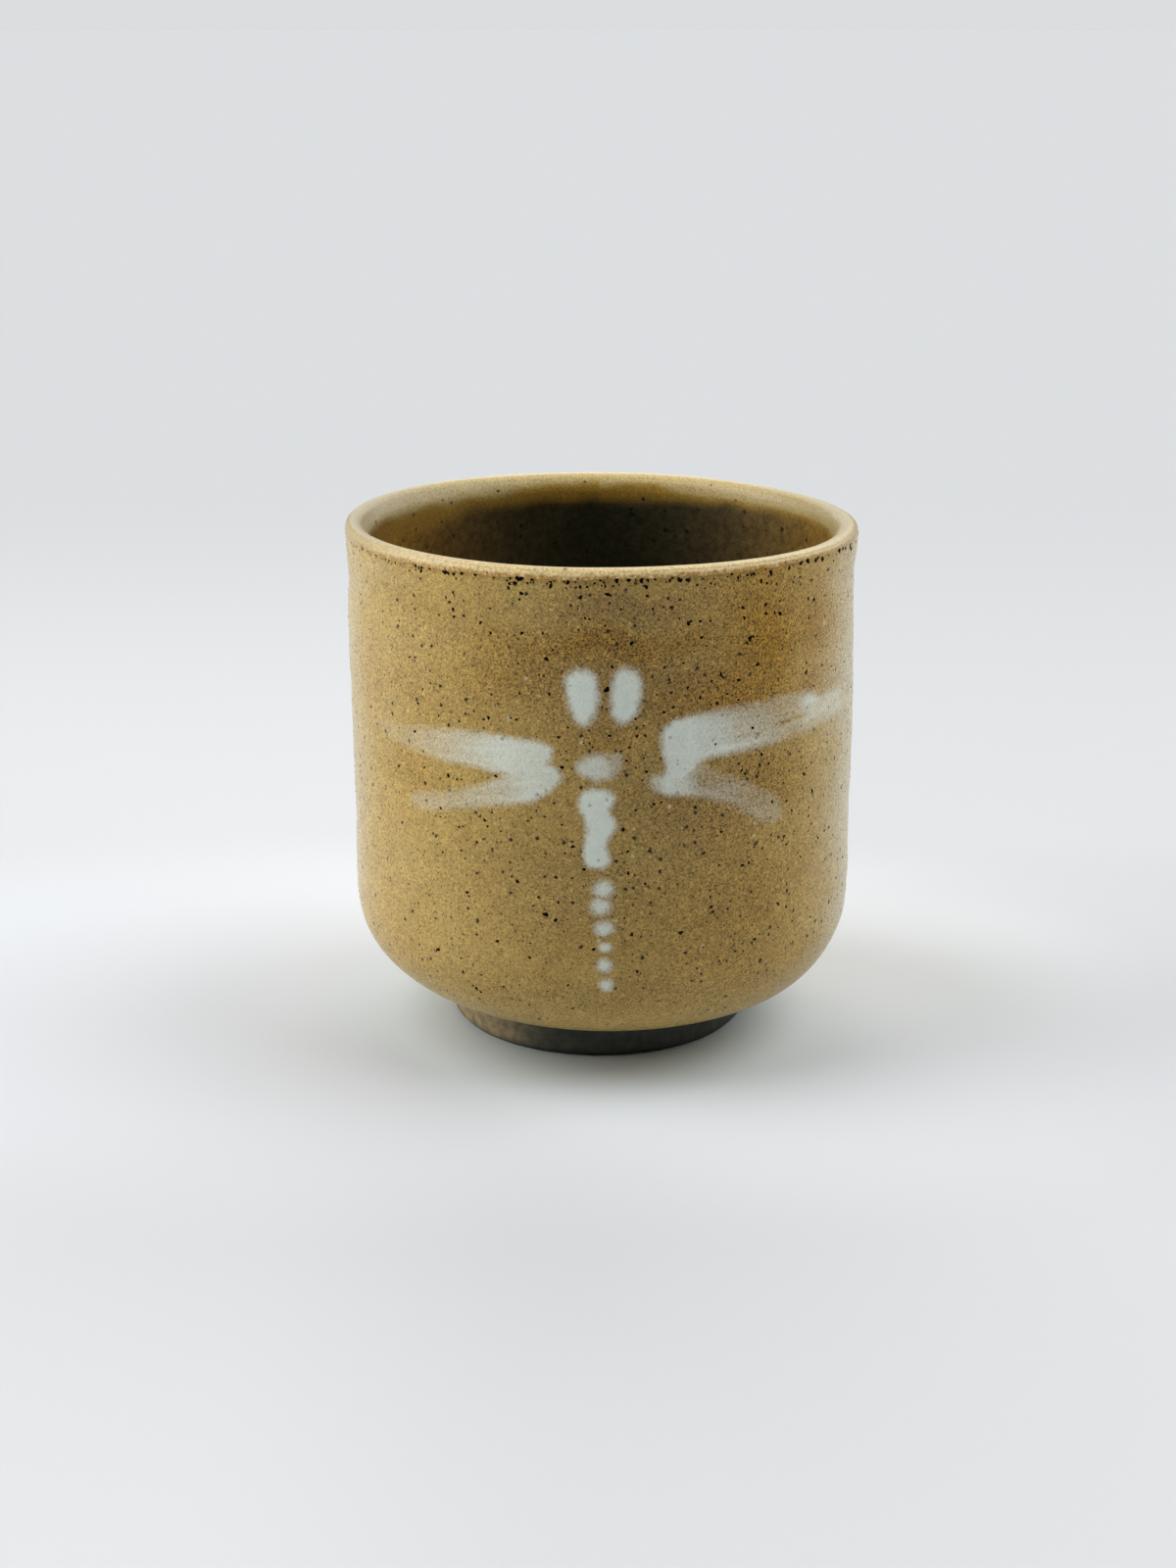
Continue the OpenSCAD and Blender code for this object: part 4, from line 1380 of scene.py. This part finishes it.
def paper_tone_and_painted_light(tree):
    """The colour of the paper: one grey, and over it five soft areas of painted light and shade by a
    distance. Each is full at the first distance in millimetres and gone at the second."""
    places = add(tree, "TexCoord", {}, "Object")
    side = add(tree, "SeparateXYZ", {0: places}, "X")
    back = add(tree, "SeparateXYZ", {0: places}, "Y")
    from_left = add(tree, "VectorMath", {0: places, 1: (-30 * MM, 0, 0)}, operation="SUBTRACT")
    drawn_in = add(tree, "VectorMath", {0: from_left, 1: (0.45, 1.0, 0.0)}, operation="MULTIPLY")
    around_left = add(tree, "VectorMath", {0: drawn_in}, "Value", operation="LENGTH")
    from_cup = add(tree, "VectorMath", {0: places}, "Value", operation="LENGTH")
    from_right = add(tree, "VectorMath", {0: places, 1: (60 * MM, 12 * MM, 0)}, "Value",
                     operation="DISTANCE")
    tone = linear("#c8cacc")
    # Painted light: lighter on the window's side and round the cup, a cool tint over the cup's
    # shadow, lighter again over its shadow on the right, and darker far behind
    for distance, full_mm, gone_mm, code in (
        (side, -50, 0, "#ced0d2"),
        (around_left, 45, 92, "#d8dbdf"),
        (from_cup, 25, 55, "#d7e0e2"),
        (from_right, 8, 45, "#e1e5e7"),
        (back, 450, 110, "#c1c3c5"),
    ):
        share = add(tree, "MapRange", {0: distance, 1: full_mm * MM, 2: gone_mm * MM, 3: 1.0, 4: 0.0},
                    interpolation_type="SMOOTHSTEP")
        tone = laid_over(tree, tone, [(1, share, code)])
    return tone


def build_stage():
    """A pale floor that runs out of sight, as one flat disc of stage. Painted light makes it a little
    lighter near the cup, over its shadows, and on the window's side, and darker far behind."""
    radius = np.array(FLOOR_RINGS)[:, None] / MM
    phi = np.arange(FLOOR_SIDES) * 2 * np.pi / FLOOR_SIDES
    points = np.stack(np.broadcast_arrays(radius * np.cos(phi), radius * np.sin(phi), 0 * radius),
                      axis=-1).reshape(-1, 3)
    rings = lattice(len(FLOOR_RINGS), FLOOR_SIDES)[:, ::-1]
    floor = finish_mesh("floor", points, rings.tolist() + [list(range(FLOOR_SIDES))])
    material, tree = new_material("pale_paper")
    paper = add(tree, "BsdfDiffuse", {"Color": paper_tone_and_painted_light(tree), "Roughness": 0.0})
    add(tree, "OutputMaterial", {"Surface": paper})
    floor.data.materials.append(material)


# The camera: distance in front of the cup's axis, height, tilt down and turn in radians, its lens on
# a sensor of this width, and the nearest distance that it sees
CAMERA_BACK = 381.155
CAMERA_UP = 157.664
CAMERA_PITCH = 0.3046
CAMERA_TURN = 0.00486
CAMERA_LENS = 56.25
CAMERA_SENSOR = 36
NEAREST_SEEN = 10


def build_camera():
    """The photograph's view, its long side across the sensor's width."""
    data = bpy.data.cameras.new("view")
    data.lens = CAMERA_LENS
    data.sensor_width = CAMERA_SENSOR
    data.clip_start = NEAREST_SEEN * MM
    camera = bpy.data.objects.new("view", data)
    camera.location = (0, -CAMERA_BACK * MM, CAMERA_UP * MM)
    camera.rotation_euler = (math.pi / 2 - CAMERA_PITCH, 0, CAMERA_TURN)
    bpy.context.scene.collection.objects.link(camera)
    bpy.context.scene.camera = camera


# Daylight as wide soft lights: name, strength and the direction towards it. The window on the left
# reaches from the table's height to high up.
LIGHTS = (
    ("window_low", 1.5, (-1.0, 0.0, 0.105)),
    ("window_middle", 0.9, (-1.0, 0.0, 0.53)),
    ("window_high", 1.45, (-1.0, 0.0, 1.28)),
    ("back_left_low", 0.3, (-0.7, 0.7, 0.2)),
    ("right_wall", 0.6, (1.0, 0.0, 0.53)),
    ("right_high", 1.15, (1.0, 0.0, 1.28)),
    ("back_wall", 0.75, (0.0, 1.0, 0.53)),
    ("back_high", 0.4, (0.0, 1.0, 1.28)),
    ("back_right", 1.0, (0.7, 0.7, 0.53)),
)
# How wide each light looks from the cup, in degrees
LIGHT_WIDE = 45


def build_lights():
    """Soft daylight from the left, behind and the right, with next to none from the camera's side.
    Each light is turned so that it shines from its direction."""
    for name, strength, (x, y, z) in LIGHTS:
        data = bpy.data.lights.new(name, "SUN")
        data.energy = strength
        data.angle = math.radians(LIGHT_WIDE)
        lamp = bpy.data.objects.new(name, data)
        down = math.acos(z / math.sqrt(x * x + y * y + z * z))
        lamp.rotation_euler = (down, 0, math.atan2(y, x) + math.pi / 2)
        bpy.context.scene.collection.objects.link(lamp)


def build_room():
    """A dim room that is a little brighter behind the cup. To the camera it is an even pale grey."""
    world = bpy.data.worlds.new("soft_room")
    world.use_nodes = True
    tree = world.node_tree
    tree.nodes.clear()
    direction = add(tree, "TexCoord", {}, "Generated")
    behind = add(tree, "SeparateXYZ", {0: direction}, "Y")
    strength = add(tree, "MapRange", {0: behind, 1: -0.6, 2: 0.5, 3: 0.01, 4: 0.03},
                   interpolation_type="SMOOTHSTEP")
    room = add(tree, "Background", {"Color": linear("#f4f6f8"), "Strength": strength})
    seen = add(tree, "Background", {"Color": linear("#dbdddf"), "Strength": 1.0})
    by_camera = add(tree, "LightPath", {}, "Is Camera Ray")
    both = add(tree, "MixShader", {0: by_camera, 1: room, 2: seen})
    add(tree, "OutputWorld", {"Surface": both})
    bpy.context.scene.world = world


build_camera()
build_cup()
build_dragonfly()
dress(iron_speck_piece("iron_specks"), iron_speck_material("melted_iron"), "ochre_glaze")
build_stage()
build_lights()
build_room()
bpy.context.scene.view_settings.view_transform = "Standard"
